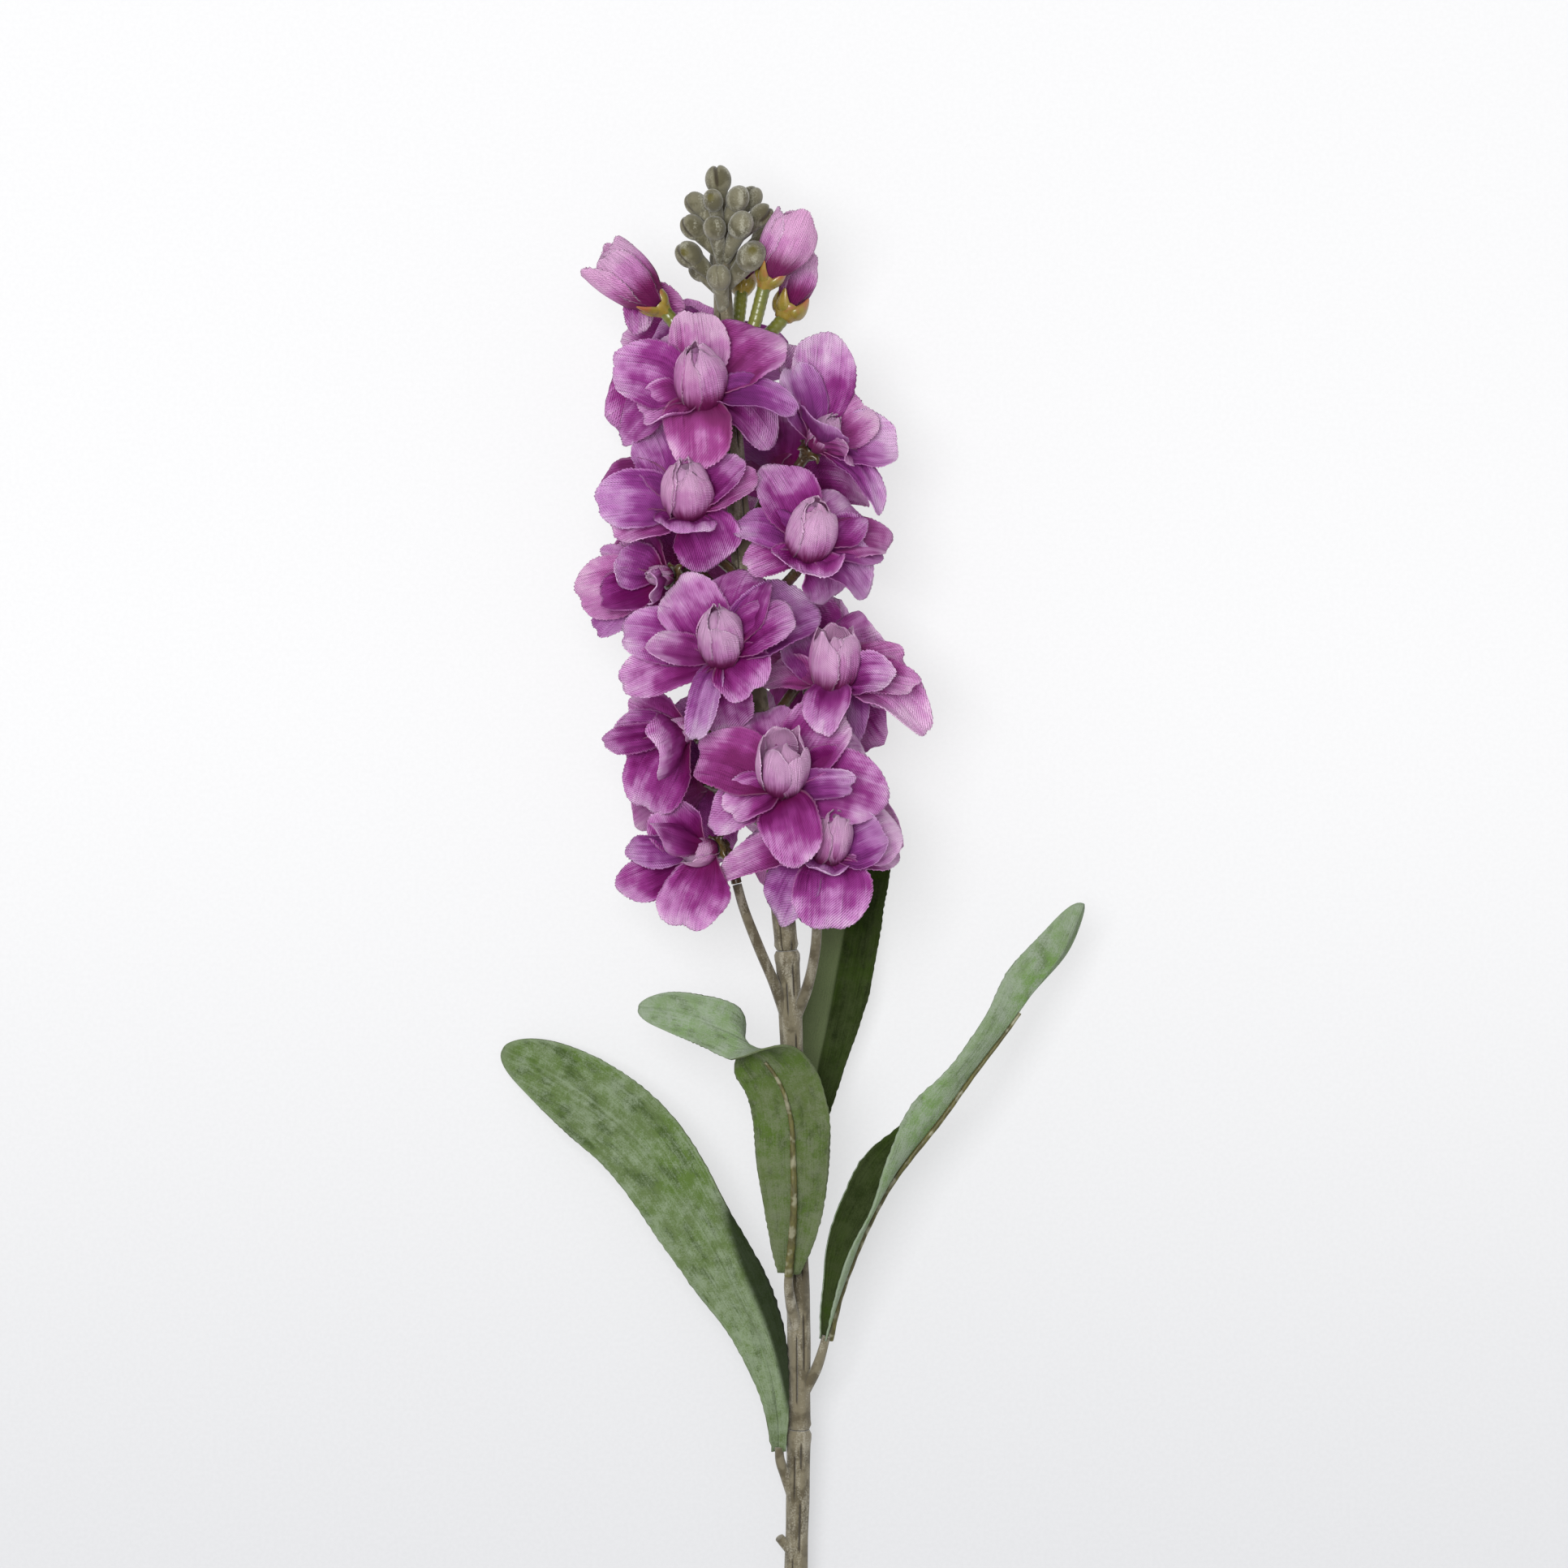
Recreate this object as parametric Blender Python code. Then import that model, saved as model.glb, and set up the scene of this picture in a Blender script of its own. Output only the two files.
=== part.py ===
"""An artificial stock stem lying down: fabric blooms on plastic calyces, a flocked stem and four leaves.

Layout points are (across, down, height). The first two count steps of STEP millimetres, seen from above
with the tip of the stem at the top, and the third is in millimetres above the surface.
"""

import math

import bmesh
import bpy
import numpy as np
from mathutils import Vector
from mathutils.kdtree import KDTree

STEP = 0.22
MIDDLE_ACROSS, MIDDLE_DOWN = 966.0, 966.0
UP = np.array([0.0, 0.0, 1.0])

# Millimetres: sheets, the gap between neighbouring pieces, and how near a petal's middle surface may come to
# another bloom, to its own bloom's other petals, to its own calyx and to the surface it lies on.
PETAL_THICK = 0.6
LEAF_THICK = 0.7
GAP = 0.3
CLEAR = 1.75
OWN_CLEAR = 1.1
CALYX_CLEAR = 1.2
FLOOR = 0.55

# Where along a petal its rows of points lie, in the open blooms and in those at the back.
PETAL_ROWS = (0.0, 0.4, 0.75, 1.0)
BACK_ROWS = (0.0, 0.52, 1.0)
SAMPLES = 12
FULL = 1.04
OPEN_SPREAD, HALF_SPREAD = 46, 18

STEM_PATH = [
    (887, 222, 43), (889, 300, 43), (893, 400, 42), (900, 500, 41), (905, 560, 40), (912, 650, 39.5),
    (922, 760, 39), (935, 880, 38.5), (950, 1000, 38), (965, 1120, 36.5), (970, 1170, 35.5),
    (974, 1240, 33.5),
    (979, 1400, 28), (981, 1500, 24.5), (985, 1640, 19.5), (985, 1768, 15.2), (984, 1850, 12.5),
    (982, 1932, 10.2), (980, 2100, 6.5), (978, 2250, 4.2), (977, 2366, 3.7),
]
STEM_RADIUS = [(222, 1.3), (300, 2.1), (400, 2.7), (700, 2.9), (1170, 3.05), (2366, 3.15)]
JOINTS = (1170, 1768)
STEM_END = 2366
PLUG_LONG, PLUG_RADIUS = 6.0, 1.7
STALK_RADIUS, STALK_SEAT = 1.15, 0.65

# Closed buds of the tip: across, down, height over the stem, radius in steps, and where the stalk leaves.
TIP_BUDS = [
    (885, 222, 0, 16, 250), (858, 252, 1, 14, 285), (879, 250, 8, 13, 290), (909, 247, 4, 15, 290),
    (925, 243, -5, 14, 285), (938, 266, 0, 14, 310), (854, 281, 2, 15, 318), (881, 284, 9, 14, 328),
    (913, 280, 8, 16, 328), (849, 315, 3, 16, 352), (926, 318, 7, 18, 358), (886, 344, 7, 15, 388),
    (940, 292, -6, 13, 335), (862, 331, -7, 14, 366), (887, 268, -9, 15, 305), (890, 316, -10, 16, 352),
]

# Blooms: base, the way they face, how far down the stem their stalk leaves, bud (length, radius), and petals.
# A petal is its tip (across, down, height), its width in steps, its cupping, and the uneven part of that.
BLOOMS = {
    "a": ((866, 508, 56), (-0.08, 0.78, 0.62), 590, (19.0, 6.6), [
        (858, 384, 48, 66, 0.35, 0.0), (958, 414, 52, 78, 0.4, 0.1), (753, 461, 56, 66, 0.3, 0.1),
        (792, 522, 64, 46, 0.6, 0.5), (860, 580, 64, 74, 0.25, 0.0), (985, 500, 62, 52, 0.6, -0.5),
        (794, 408, 46, 60, 0.3, 0.0), (752, 522, 50, 50, 0.4, 0.0), (952, 552, 47, 54, 0.3, 0.0)]),
    "f": ((891, 818, 58), (-0.1, 0.42, 0.9), 885, (19.0, 6.8), [
        (831, 721, 51, 60, 0.3, 0.0), (922, 703, 51, 68, 0.35, 0.0), (968, 748, 63, 54, 0.4, -0.3),
        (768, 776, 54, 52, 0.3, 0.1), (940, 847, 64, 58, 0.5, -0.2), (790, 806, 63, 32, 0.4, 0.3),
        (765, 838, 54, 46, 0.4, 0.0), (856, 911, 60, 38, 0.5, 0.2), (906, 911, 52, 54, 0.3, 0.0),
        (1008, 740, 49, 64, 0.3, 0.0)]),
    "i": ((963, 982, 57), (0.02, 0.55, 0.83), 1045, (19.0, 7.2), [
        (853, 932, 54, 62, 0.4, 0.1), (1036, 882, 50, 60, 0.4, 0.0), (897, 984, 63, 44, 0.5, 0.3),
        (1055, 965, 64, 30, 0.7, 0.2), (988, 1066, 60, 68, 0.25, 0.0), (1088, 968, 54, 68, 0.3, 0.0),
        (873, 1010, 53, 46, 0.4, 0.0), (1077, 905, 45, 50, 0.3, 0.0), (942, 867, 46, 52, 0.3, 0.0)]),
    "c": ((847, 639, 54), (-0.25, 0.45, 0.86), 705, (18.0, 7.4), [
        (803, 522, 49, 62, 0.35, 0.0), (742, 606, 54, 54, 0.35, 0.1), (916, 569, 63, 36, 0.7, -0.2),
        (929, 586, 62, 36, 0.7, -0.3), (843, 655, 68, 58, 0.5, 0.0), (723, 584, 43, 52, 0.7, 0.0),
        (752, 650, 56, 48, 0.5, 0.2), (884, 698, 52, 62, 0.3, 0.0)]),
    "d": ((991, 689, 56), (0.2, 0.55, 0.81), 750, (19.0, 6.8), [
        (950, 578, 50, 54, 0.4, 0.0), (1048, 612, 48, 60, 0.35, 0.0), (905, 645, 56, 40, 0.4, 0.1),
        (1090, 662, 50, 46, 0.4, 0.0), (990, 712, 66, 66, 0.6, 0.0), (1080, 722, 54, 56, 0.4, -0.2),
        (917, 700, 57, 44, 0.5, 0.2), (1097, 672, 43, 40, 0.5, 0.0), (1030, 744, 50, 60, 0.3, 0.0)]),
    "k": ((1015, 1064, 52), (0.2, 0.6, 0.77), 0, (18.0, 6.8), [
        (1102, 1003, 46, 74, 0.35, 0.0), (1092, 1029, 58, 54, 0.5, -0.2), (903, 1048, 44, 36, 0.4, 0.0),
        (1016, 1147, 54, 70, 0.25, 0.0), (1007, 1078, 64, 48, 0.6, 0.0), (890, 1082, 44, 36, 0.5, 0.0),
        (1109, 1049, 42, 44, 0.3, 0.0), (956, 1141, 42, 52, 0.3, 0.0)]),
    "g": ((1025, 860, 48), (0.04, 0.9, 0.43), 915, (20.0, 7.2), [
        (1119, 813, 42, 38, 0.3, 0.0), (1090, 818, 58, 40, 0.6, -0.2), (1010, 906, 61, 54, 0.5, 0.2),
        (1130, 847, 50, 36, 0.4, 0.0), (1149, 870, 44, 54, 0.4, 0.0), (938, 843, 44, 32, 0.4, 0.0),
        (955, 803, 40, 42, 0.4, 0.0), (1086, 871, 38, 36, 0.3, 0.0), (1067, 890, 34, 34, 0.3, 0.0)]),
    "e": ((830, 712, 50), (-0.8, 0.05, 0.6), 775, (16.0, 5.6), [
        (761, 688, 55, 46, 0.4, 0.0), (788, 725, 66, 32, 0.4, 0.0), (709, 733, 46, 56, 0.3, 0.0),
        (741, 744, 54, 42, 0.7, 0.0), (738, 778, 43, 34, 0.4, 0.0), (737, 694, 40, 40, 0.3, 0.0),
        (768, 662, 44, 46, 0.3, 0.0)]),
    "j": ((884, 1044, 42), (-0.8, -0.25, 0.5), 0, (16.0, 5.4), [
        (820, 993, 42, 52, 0.4, 0.0), (771, 1049, 42, 32, 0.5, 0.0), (792, 1058, 57, 36, 0.6, 0.2),
        (839, 1142, 50, 66, 0.25, 0.0), (758, 1096, 43, 42, 0.3, 0.0), (804, 1101, 33, 36, 0.3, 0.0)]),
    "b": ((998, 556, 45), (0.6, 0.72, 0.34), 645, (13.0, 4.4), [
        (1018, 411, 46, 62, 0.3, 0.0), (1059, 489, 50, 58, 0.5, 0.2), (1014, 524, 64, 50, 0.3, 0.0),
        (1107, 551, 43, 58, 0.3, 0.0), (1050, 557, 58, 36, 0.6, 0.0), (977, 450, 52, 50, 0.4, 0.0),
        (1084, 634, 48, 30, 0.35, 0.0), (983, 422, 38, 40, 0.3, 0.0)]),
    "h": ((860, 898, 43), (-0.85, -0.15, 0.45), 960, (15.0, 5.2), [
        (816, 929, 61, 58, 0.6, 0.0), (797, 1003, 40, 68, 0.3, 0.0), (742, 916, 44, 28, 0.6, 0.0),
        (759, 904, 38, 42, 0.3, 0.0), (756, 958, 34, 46, 0.4, 0.0), (776, 868, 42, 44, 0.4, 0.0)]),
    "half_left": ((812, 378, 43), (-0.75, 0.66, 0.06), 455, (12.0, 3.6), [
        (781, 298, 49, 66, 0.75, 0.0), (741, 310, 55, 66, 0.6, 0.0), (716, 347, 45, 54, 0.4, 0.0),
        (764, 300, 36, 62, 0.5, 0.0), (782, 411, 39, 50, 0.4, 0.0), (846, 380, 37, 40, 0.3, 0.0)]),
    "half_right": ((946, 345, 45), (0.42, 0.9, 0.08), 425, (12.0, 3.6), [
        (990, 283, 54, 68, 0.7, 0.0), (950, 268, 45, 56, 0.5, 0.0), (1008, 312, 46, 60, 0.5, 0.0),
        (985, 276, 37, 60, 0.5, 0.0)]),
    "half_side": ((971, 380, 34), (0.45, 0.87, -0.2), 436, (10.0, 3.2), [
        (1008, 330, 36, 52, 0.6, 0.0), (978, 312, 28, 50, 0.5, 0.0), (1012, 352, 26, 46, 0.5, 0.0)]),
    "half_back": ((914, 352, 30), (0.1, 0.8, -0.6), 428, (10.0, 3.2), [
        (937, 312, 22, 52, 0.6, 0.0), (896, 300, 22, 50, 0.6, 0.0), (958, 348, 16, 46, 0.5, 0.0)]),
    "back_1": ((866, 452, 25), (-0.35, 0.5, -0.8), 510, (14.0, 5.2), []),
    "back_2": ((958, 590, 27), (0.55, 0.5, -0.68), 645, (14.0, 5.2), []),
    "back_3": ((858, 700, 24), (-0.45, 0.45, -0.77), 752, (14.0, 5.2), []),
    "back_4": ((992, 835, 24), (0.5, 0.45, -0.74), 890, (14.0, 5.2), []),
    "back_5": ((884, 965, 23), (-0.45, 0.45, -0.78), 1015, (14.0, 5.2), []),
    "back_6": ((1010, 1040, 22), (0.45, 0.5, -0.74), 1095, (14.0, 5.2), []),
}
# Petals of a back bloom: turn round the axis, opening from it, length and width in millimetres.
BACK_PETALS = [
    (20, 56, 24, 14), (140, 58, 23, 14), (260, 56, 24, 14), (-15, 86, 27, 16), (60, 84, 28, 16),
    (128, 88, 27, 16), (200, 84, 28, 16), (275, 86, 27, 16),
]
BACK_CUP = 0.35

# The two blooms at the bottom of the head stand on branchlets of the middle length.
BRANCHLETS = {
    "j": [(968, 1252, 33.5), (955, 1215, 36.5), (935, 1168, 39), (914, 1112, 40.5), (908, 1090, 41)],
    "k": [(980, 1254, 34), (995, 1215, 38), (1005, 1165, 42), (1007, 1120, 46), (1008, 1105, 47)],
}
# The short stalks that the leaves sit on: where each leaves the stem and its bend.
LEAF_STALKS = {
    "left": [(976, 1850, 12.8), (968, 1828, 14.2)],
    "centre": [(981, 1640, 21.0), (974, 1608, 25.5)],
    "right": [(990, 1722, 17.4), (1006, 1692, 19.6)],
    "back": [(980, 1500, 22.8), (984, 1480, 19.6)],
}
STALKS_OF = {"stem_upper": (), "stem_middle": ("centre", "right", "back"), "stem_lower": ("left",)}
STUB = [(977, 1917, 10.6), (966, 1904, 11.8), (960, 1896, 12.6)]

# Leaves: points of the middle line with the turn of the blade about it, in degrees (180 shows the back), the
# widest width in steps, the channel along the middle, and the depth of the waves at the edges in millimetres.
LEAVES = {
    "left": ([(960, 1796, 16.5, 8), (957, 1745, 19.5, 10), (936, 1662, 22, 24), (902, 1592, 23, 28),
              (868, 1530, 22, 16), (830, 1470, 20, 6), (785, 1410, 16.5, 2), (730, 1363, 12, 0),
              (670, 1325, 7, -2), (613, 1298, 2.6, 0)], 108, 0.35, 1.5),
    "centre": ([(972, 1572, 30, 180), (978, 1490, 36.5, 180), (977, 1430, 40, 178), (974, 1375, 42.5, 186),
                (960, 1330, 44.5, 205), (935, 1296, 46, 250), (908, 1276, 46, 300), (880, 1262, 44.5, 340),
                (832, 1248, 40, 362), (785, 1243, 34, 360)], 96, 0.25, 1.2),
    "right": ([(1013, 1656, 22.5, -62), (1024, 1590, 25, -64), (1048, 1530, 27, -66),
               (1075, 1472, 28.5, -68), (1115, 1416, 29.5, -78), (1163, 1356, 30, -104),
               (1210, 1290, 29, -114), (1262, 1212, 27, -114), (1305, 1150, 24, -122),
               (1336, 1108, 21.5, -120)], 88, 0.35, 2.2),
    "back": ([(990, 1450, 16.2, -6), (998, 1390, 14.5, -8), (1010, 1320, 13, -12), (1025, 1250, 11.5, -14),
              (1038, 1180, 10, -14), (1050, 1110, 8.5, -12), (1064, 1045, 7.0, -8), (1080, 975, 5.2, -4)],
             98, 0.4, 1.0),
}
LEAF_ROWS = 9
LINE_POINTS = 81
RIB_ROWS = {"left": 7, "centre": 5, "right": 7, "back": 7}
RIB_RADII = (0.95, 0.5)

# Base colour and roughness.
COLOURS = {
    "stem": ((0.13, 0.11, 0.075), 0.95), "calyx": ((0.32, 0.27, 0.05), 0.35),
    "petals": ((0.43, 0.12, 0.38), 0.8), "leaf": ((0.16, 0.21, 0.09), 0.95),
    "rib": ((0.17, 0.14, 0.05), 0.4),
}


def at(across, down, height):
    return np.array([(across - MIDDLE_ACROSS) * STEP, (MIDDLE_DOWN - down) * STEP, height], float)


def unit(vector):
    return vector / np.linalg.norm(vector, axis=-1, keepdims=True)


def curve(points, count):
    """Points evenly spaced along a smooth line through the given ones."""
    points = np.asarray(points, float)
    chord = np.concatenate([[0.0], np.cumsum(np.linalg.norm(np.diff(points[:, :3], axis=0), axis=1))])
    slopes = np.gradient(points, chord, axis=0)
    where = np.linspace(0.0, chord[-1], count)
    low = np.clip(np.searchsorted(chord, where, side="right") - 1, 0, len(points) - 2)
    span = (chord[low + 1] - chord[low])[:, None]
    t = (where - chord[low])[:, None] / span
    return (
        (2 * t**3 - 3 * t**2 + 1) * points[low] + (t**3 - 2 * t**2 + t) * span * slopes[low]
        + (3 * t**2 - 2 * t**3) * points[low + 1] + (t**3 - t**2) * span * slopes[low + 1]
    )


def tube(path, radii, around, shape=None):
    """Rings of points round a path. shape(angles, ring) scales the radius round a ring."""
    path = np.asarray(path, float)
    along = unit(np.gradient(path, axis=0))
    for ring in range(1, len(along)):
        if along[ring] @ along[ring - 1] < 0:
            along[ring] = -along[ring]
    side = unit(np.cross(along[0], UP if abs(along[0][2]) < 0.9 else np.array([0.0, 1.0, 0.0])))
    angles = np.linspace(0.0, 2 * math.pi, around + 1)
    rings = []
    for ring, (centre, tangent, radius) in enumerate(zip(path, along, radii)):
        side = unit(side - tangent * (side @ tangent))
        other = np.cross(tangent, side)
        reach = radius * (shape(angles, ring) if shape else np.ones(around + 1))
        turned = np.outer(reach * np.cos(angles), side) + np.outer(reach * np.sin(angles), other)
        rings.append(centre + turned)
    rings = np.array(rings)
    rings[:, -1] = rings[:, 0]
    return rings


def grid_mesh(points):
    """A grid of faces, its corners moved to points (rows, columns, 3) in millimetres."""
    rows, columns = points.shape[:2]
    bm = bmesh.new()
    bmesh.ops.create_grid(bm, x_segments=columns - 1, y_segments=rows - 1, size=0.5)
    for vert in bm.verts:
        column = round((vert.co.x + 0.5) * (columns - 1))
        row = round((vert.co.y + 0.5) * (rows - 1))
        vert.co = Vector(points[row, column] * 0.001)
        vert.index = row * columns + column
    return bm


def finish(bm, name):
    bmesh.ops.recalc_face_normals(bm, faces=bm.faces[:])
    if bm.calc_volume(signed=True) < 0:
        bmesh.ops.reverse_faces(bm, faces=bm.faces[:])
    mesh = bpy.data.meshes.new(name)
    bm.to_mesh(mesh)
    bm.free()
    obj = bpy.data.objects.new(name, mesh)
    bpy.context.scene.collection.objects.link(obj)
    return obj


def closed_tube(rings, name):
    bm = grid_mesh(rings)
    bmesh.ops.remove_doubles(bm, verts=bm.verts[:], dist=1e-7)
    bmesh.ops.holes_fill(bm, edges=[edge for edge in bm.edges if edge.is_boundary], sides=0)
    bmesh.ops.triangulate(bm, faces=bm.faces[:])
    return finish(bm, name)


def blade(points, normals, thick, name):
    """A solid sheet: the grid is split into triangles first, so both faces are split alike."""
    bm = grid_mesh(points - normals * thick / 2)
    number = bm.verts.layers.int.new("number")
    for vert in bm.verts:
        vert[number] = vert.index
    bmesh.ops.triangulate(bm, faces=bm.faces[:])
    lift = normals.reshape(-1, 3) * thick * 0.001
    upper = bmesh.ops.extrude_face_region(bm, geom=bm.faces[:])
    for vert in upper["geom"]:
        if isinstance(vert, bmesh.types.BMVert):
            vert.co += Vector(lift[vert[number]])
    return finish(bm, name)


def material(name):
    colour, rough = COLOURS[name]
    made = bpy.data.materials.get(name)
    if made is None:
        made = bpy.data.materials.new(name)
        made.use_nodes = True
        shader = made.node_tree.nodes["Principled BSDF"]
        shader.inputs["Base Color"].default_value = (*colour, 1.0)
        shader.inputs["Roughness"].default_value = rough
        shader.inputs["Metallic"].default_value = 0.0
    return made


def apply_modifiers(body):
    bpy.context.view_layer.update()
    graph = bpy.context.evaluated_depsgraph_get()
    made = bpy.data.meshes.new_from_object(body.evaluated_get(graph))
    body.modifiers.clear()
    body.data = made


def fuse(pieces, name, colour):
    """One Boolean union of the pieces, applied, and its parts removed."""
    body = pieces[0]
    body.name = name
    if len(pieces) > 1:
        rest = bpy.data.collections.new(name + " parts")
        bpy.context.scene.collection.children.link(rest)
        for piece in pieces[1:]:
            bpy.context.scene.collection.objects.unlink(piece)
            rest.objects.link(piece)
        union = body.modifiers.new("Union", "BOOLEAN")
        union.operation = "UNION"
        union.operand_type = "COLLECTION"
        union.collection = rest
        union.solver = "EXACT"
        apply_modifiers(body)
        for piece in pieces[1:]:
            bpy.data.objects.remove(piece)
        bpy.data.collections.remove(rest)
    body.data.name = name
    body.data.materials.clear()
    body.data.materials.append(material(colour))
    return body


def stem_axis():
    return curve([at(*point) for point in STEM_PATH], 240)


STEM = stem_axis()
STEM_DOWN = MIDDLE_DOWN - STEM[:, 1] / STEP


def stem_at(down):
    return np.array([np.interp(down, STEM_DOWN, STEM[:, axis]) for axis in range(3)])


def stem_radius(down):
    return np.interp(down, *zip(*STEM_RADIUS))


def petal_of(bloom, tip, width, cup, uneven, spread, number):
    """What shapes one petal: a bent middle line from the base to the tip, its width, cupping and roll."""
    base, axis = bloom
    reach = tip - base
    length = np.linalg.norm(reach)
    out = unit(reach - axis * (reach @ axis))
    root = base + axis * (2.8 - 0.9 * min(number // 3, 2)) + out * 1.3
    start = axis * math.cos(spread) + out * math.sin(spread)
    return {
        "root": root, "bend": root + start * 0.5 * length, "tip": tip, "side": np.cross(axis, out),
        "width": width, "cup": cup, "uneven": uneven, "roll": 0.0,
        "wave": 0.5, "phase": 2.4 * number + base[0],
    }


def petal_surface(petal, u, v):
    """Points and normals of a petal at u along it (0 to 1) and v across it (-1 to 1)."""
    lengthwise = u - 0.11 * u**3 * v**2
    t = lengthwise[..., None]
    centre = (1 - t) ** 2 * petal["root"] + 2 * t * (1 - t) * petal["bend"] + t**2 * petal["tip"]
    along = unit(2 * (1 - t) * (petal["bend"] - petal["root"]) + 2 * t * (petal["tip"] - petal["bend"]))
    side = unit(petal["side"] - along * (along @ petal["side"])[..., None])
    face = np.cross(along, side)
    roll = math.radians(petal["roll"]) * np.minimum(1.0, 2 * u)[..., None]
    side, face = side * np.cos(roll) + face * np.sin(roll), face * np.cos(roll) - side * np.sin(roll)
    grown = 0.13 + 0.87 * np.sin(np.minimum(u / 0.7, 1.0) * math.pi / 2) ** 1.3
    half = petal["width"] / 2 * (grown - 0.3 * (np.maximum(u - 0.7, 0.0) / 0.3) ** 2)
    cup = petal["cup"] + petal["uneven"] * v
    flat = half * v * (1 - (cup * v) ** 2 / 6)
    ripple = petal["wave"] * v**2 * np.sin(7 * u + petal["phase"]) * np.minimum(1.0, 2 * u)
    lift = half * cup * v**2 / 2 + ripple
    points = centre + side * flat[..., None] + face * lift[..., None]
    lean = cup * v
    normals = unit(face * np.cos(lean)[..., None] - side * np.sin(lean)[..., None])
    return points, normals


def petal_grid(name, petal):
    """The coarse points and normals that a petal is built from."""
    v, u = np.meshgrid((-1.0, 0.0, 1.0), BACK_ROWS if name.startswith("back") else PETAL_ROWS)
    return petal_surface(petal, u, v)


def refined(points, times):
    """The flat patches of a coarse grid, sampled more finely."""
    for axis in (0, 1):
        count = points.shape[axis]
        where = np.linspace(0, count - 1, (count - 1) * times + 1)
        low = np.minimum(where.astype(int), count - 2)
        part = (where - low).reshape((-1, 1, 1) if axis == 0 else (1, -1, 1))
        points = np.take(points, low, axis) * (1 - part) + np.take(points, low + 1, axis) * part
    return points


def bud_rings(bloom, size, around):
    """The closed middle of a bloom: three petals wrapped over each other, and the hub of the others."""
    base, axis = bloom
    length, radius = size
    heights = np.array([0.0, 0.14, 0.42, 0.76, 1.0])
    factors = np.array([0.46, 0.6, 0.96, 0.88, 0.4])
    path = base + axis * (0.4 + heights * length)[:, None]

    def wrapped(angles, ring):
        turn = (angles * 3 / (2 * math.pi)) % 1.0 - 0.5
        return 1 + (0.13 if ring > 1 else 0.0) * turn

    return tube(path, factors * radius, around, wrapped)


def bud_sides(name):
    return 6 if name.startswith(("back", "half")) else 9


def bloom_frame(name):
    base, axis, down, _, _ = BLOOMS[name]
    return at(*base), unit(np.array(axis, float))


def calyx_path(name):
    """The middle line of a stalk, from the stem or a branchlet to the top of the calyx."""
    base, axis = bloom_frame(name)
    if name in BRANCHLETS:
        start = at(*BRANCHLETS[name][-1])
        away = unit(start - at(*BRANCHLETS[name][-2]))
        start = start + away * GAP
    else:
        middle = stem_at(BLOOMS[name][2])
        towards = base - middle
        towards[1] = 0.0
        start = middle + unit(towards) * (stem_radius(BLOOMS[name][2]) + GAP + STALK_SEAT)
        away = unit(unit(towards) + np.array([0.0, 0.6, 0.0]))
    length = np.linalg.norm(base - start)
    first, last = start + away * length * 0.35, base - axis * length * 0.4
    t = np.linspace(0.0, 1.0, 6)[:, None]
    return (1 - t) ** 3 * start + 3 * t * (1 - t) ** 2 * first + 3 * t**2 * (1 - t) * last + t**3 * base


def calyx_rings(name):
    """A ribbed stalk that widens into a cup with four sepals."""
    base, axis = bloom_frame(name)
    stalk = calyx_path(name)[:-1]
    hugging = name.startswith("half")
    cup = base + axis * np.array([-2.2, 1.6 if hugging else -0.9, 1.9 if hugging else -0.4, -0.2])[:, None]
    path = np.concatenate([stalk[[0, 3]], cup])
    reach = 4.4 if hugging else 4.8
    radii = [STALK_RADIUS, 1.3, 2.2, reach, reach - 0.35, 1.8 if hugging else 1.4]
    valley = 0.62 if hugging else 0.5

    def lobed(angles, ring):
        if ring not in (3, 4):
            return np.ones(len(angles))
        return valley + (1 - valley) * np.cos(2 * angles) ** 2

    return tube(path, radii, 8, lobed)


def wanted_petals(name):
    """Each petal as asked for: tip, width, cupping, unevenness and the spread at its root."""
    base, axis = bloom_frame(name)
    asked = []
    spread = math.radians(HALF_SPREAD if name.startswith("half") else OPEN_SPREAD)
    for across, down, height, width, cup, uneven in BLOOMS[name][4]:
        asked.append((at(across, down, height), width * STEP * FULL, cup, uneven, spread))
    if not asked:
        side = unit(np.cross(axis, UP))
        other = np.cross(axis, side)
        for turn, opening, length, width in BACK_PETALS:
            turn, opening = math.radians(turn + base[1] * 3), math.radians(opening)
            out = side * math.cos(turn) + other * math.sin(turn)
            tip = base + (axis * math.cos(opening) + out * math.sin(opening)) * length
            asked.append((tip, width, BACK_CUP, 0.0, spread))
    return asked


def changes():
    """Ways to ease a petal past what it would cross, the smallest first."""
    found = []
    for shorter in (1.0, 0.9, 0.8, 0.68):
        for opening in (0, -7, 7, -14, 14, -22, -32, -44, 24):
            for turn in (0, 7, -7, 15, -15, 24, -24):
                for roll in (0, 16, -16):
                    cost = abs(opening) + abs(turn) + 0.5 * abs(roll) + 110 * (1 - shorter)
                    found.append((cost, shorter, opening, turn, roll))
    return sorted(found)


CHANGES = changes()
# A petal that only touches petals of its own bloom is moved no further aside than this cost.
FAR_FOR_OWN = 26


def eased(bloom, asked, change, number):
    base, axis = bloom
    tip, width, cup, uneven, spread = asked
    _, shorter, opening, turn, roll = change
    reach = tip - base
    length = np.linalg.norm(reach) * shorter
    out = unit(reach - axis * (reach @ axis))
    side = np.cross(axis, out)
    angle = math.acos(max(-1.0, min(1.0, unit(reach) @ axis))) + math.radians(opening)
    angle = max(angle, math.radians(12))
    out = out * math.cos(math.radians(turn)) + side * math.sin(math.radians(turn))
    moved = base + (axis * math.cos(angle) + out * math.sin(angle)) * length
    petal = petal_of(bloom, moved, width * (0.55 + 0.45 * shorter), cup, uneven, min(spread, angle), number)
    petal["roll"] = roll
    return petal


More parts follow.
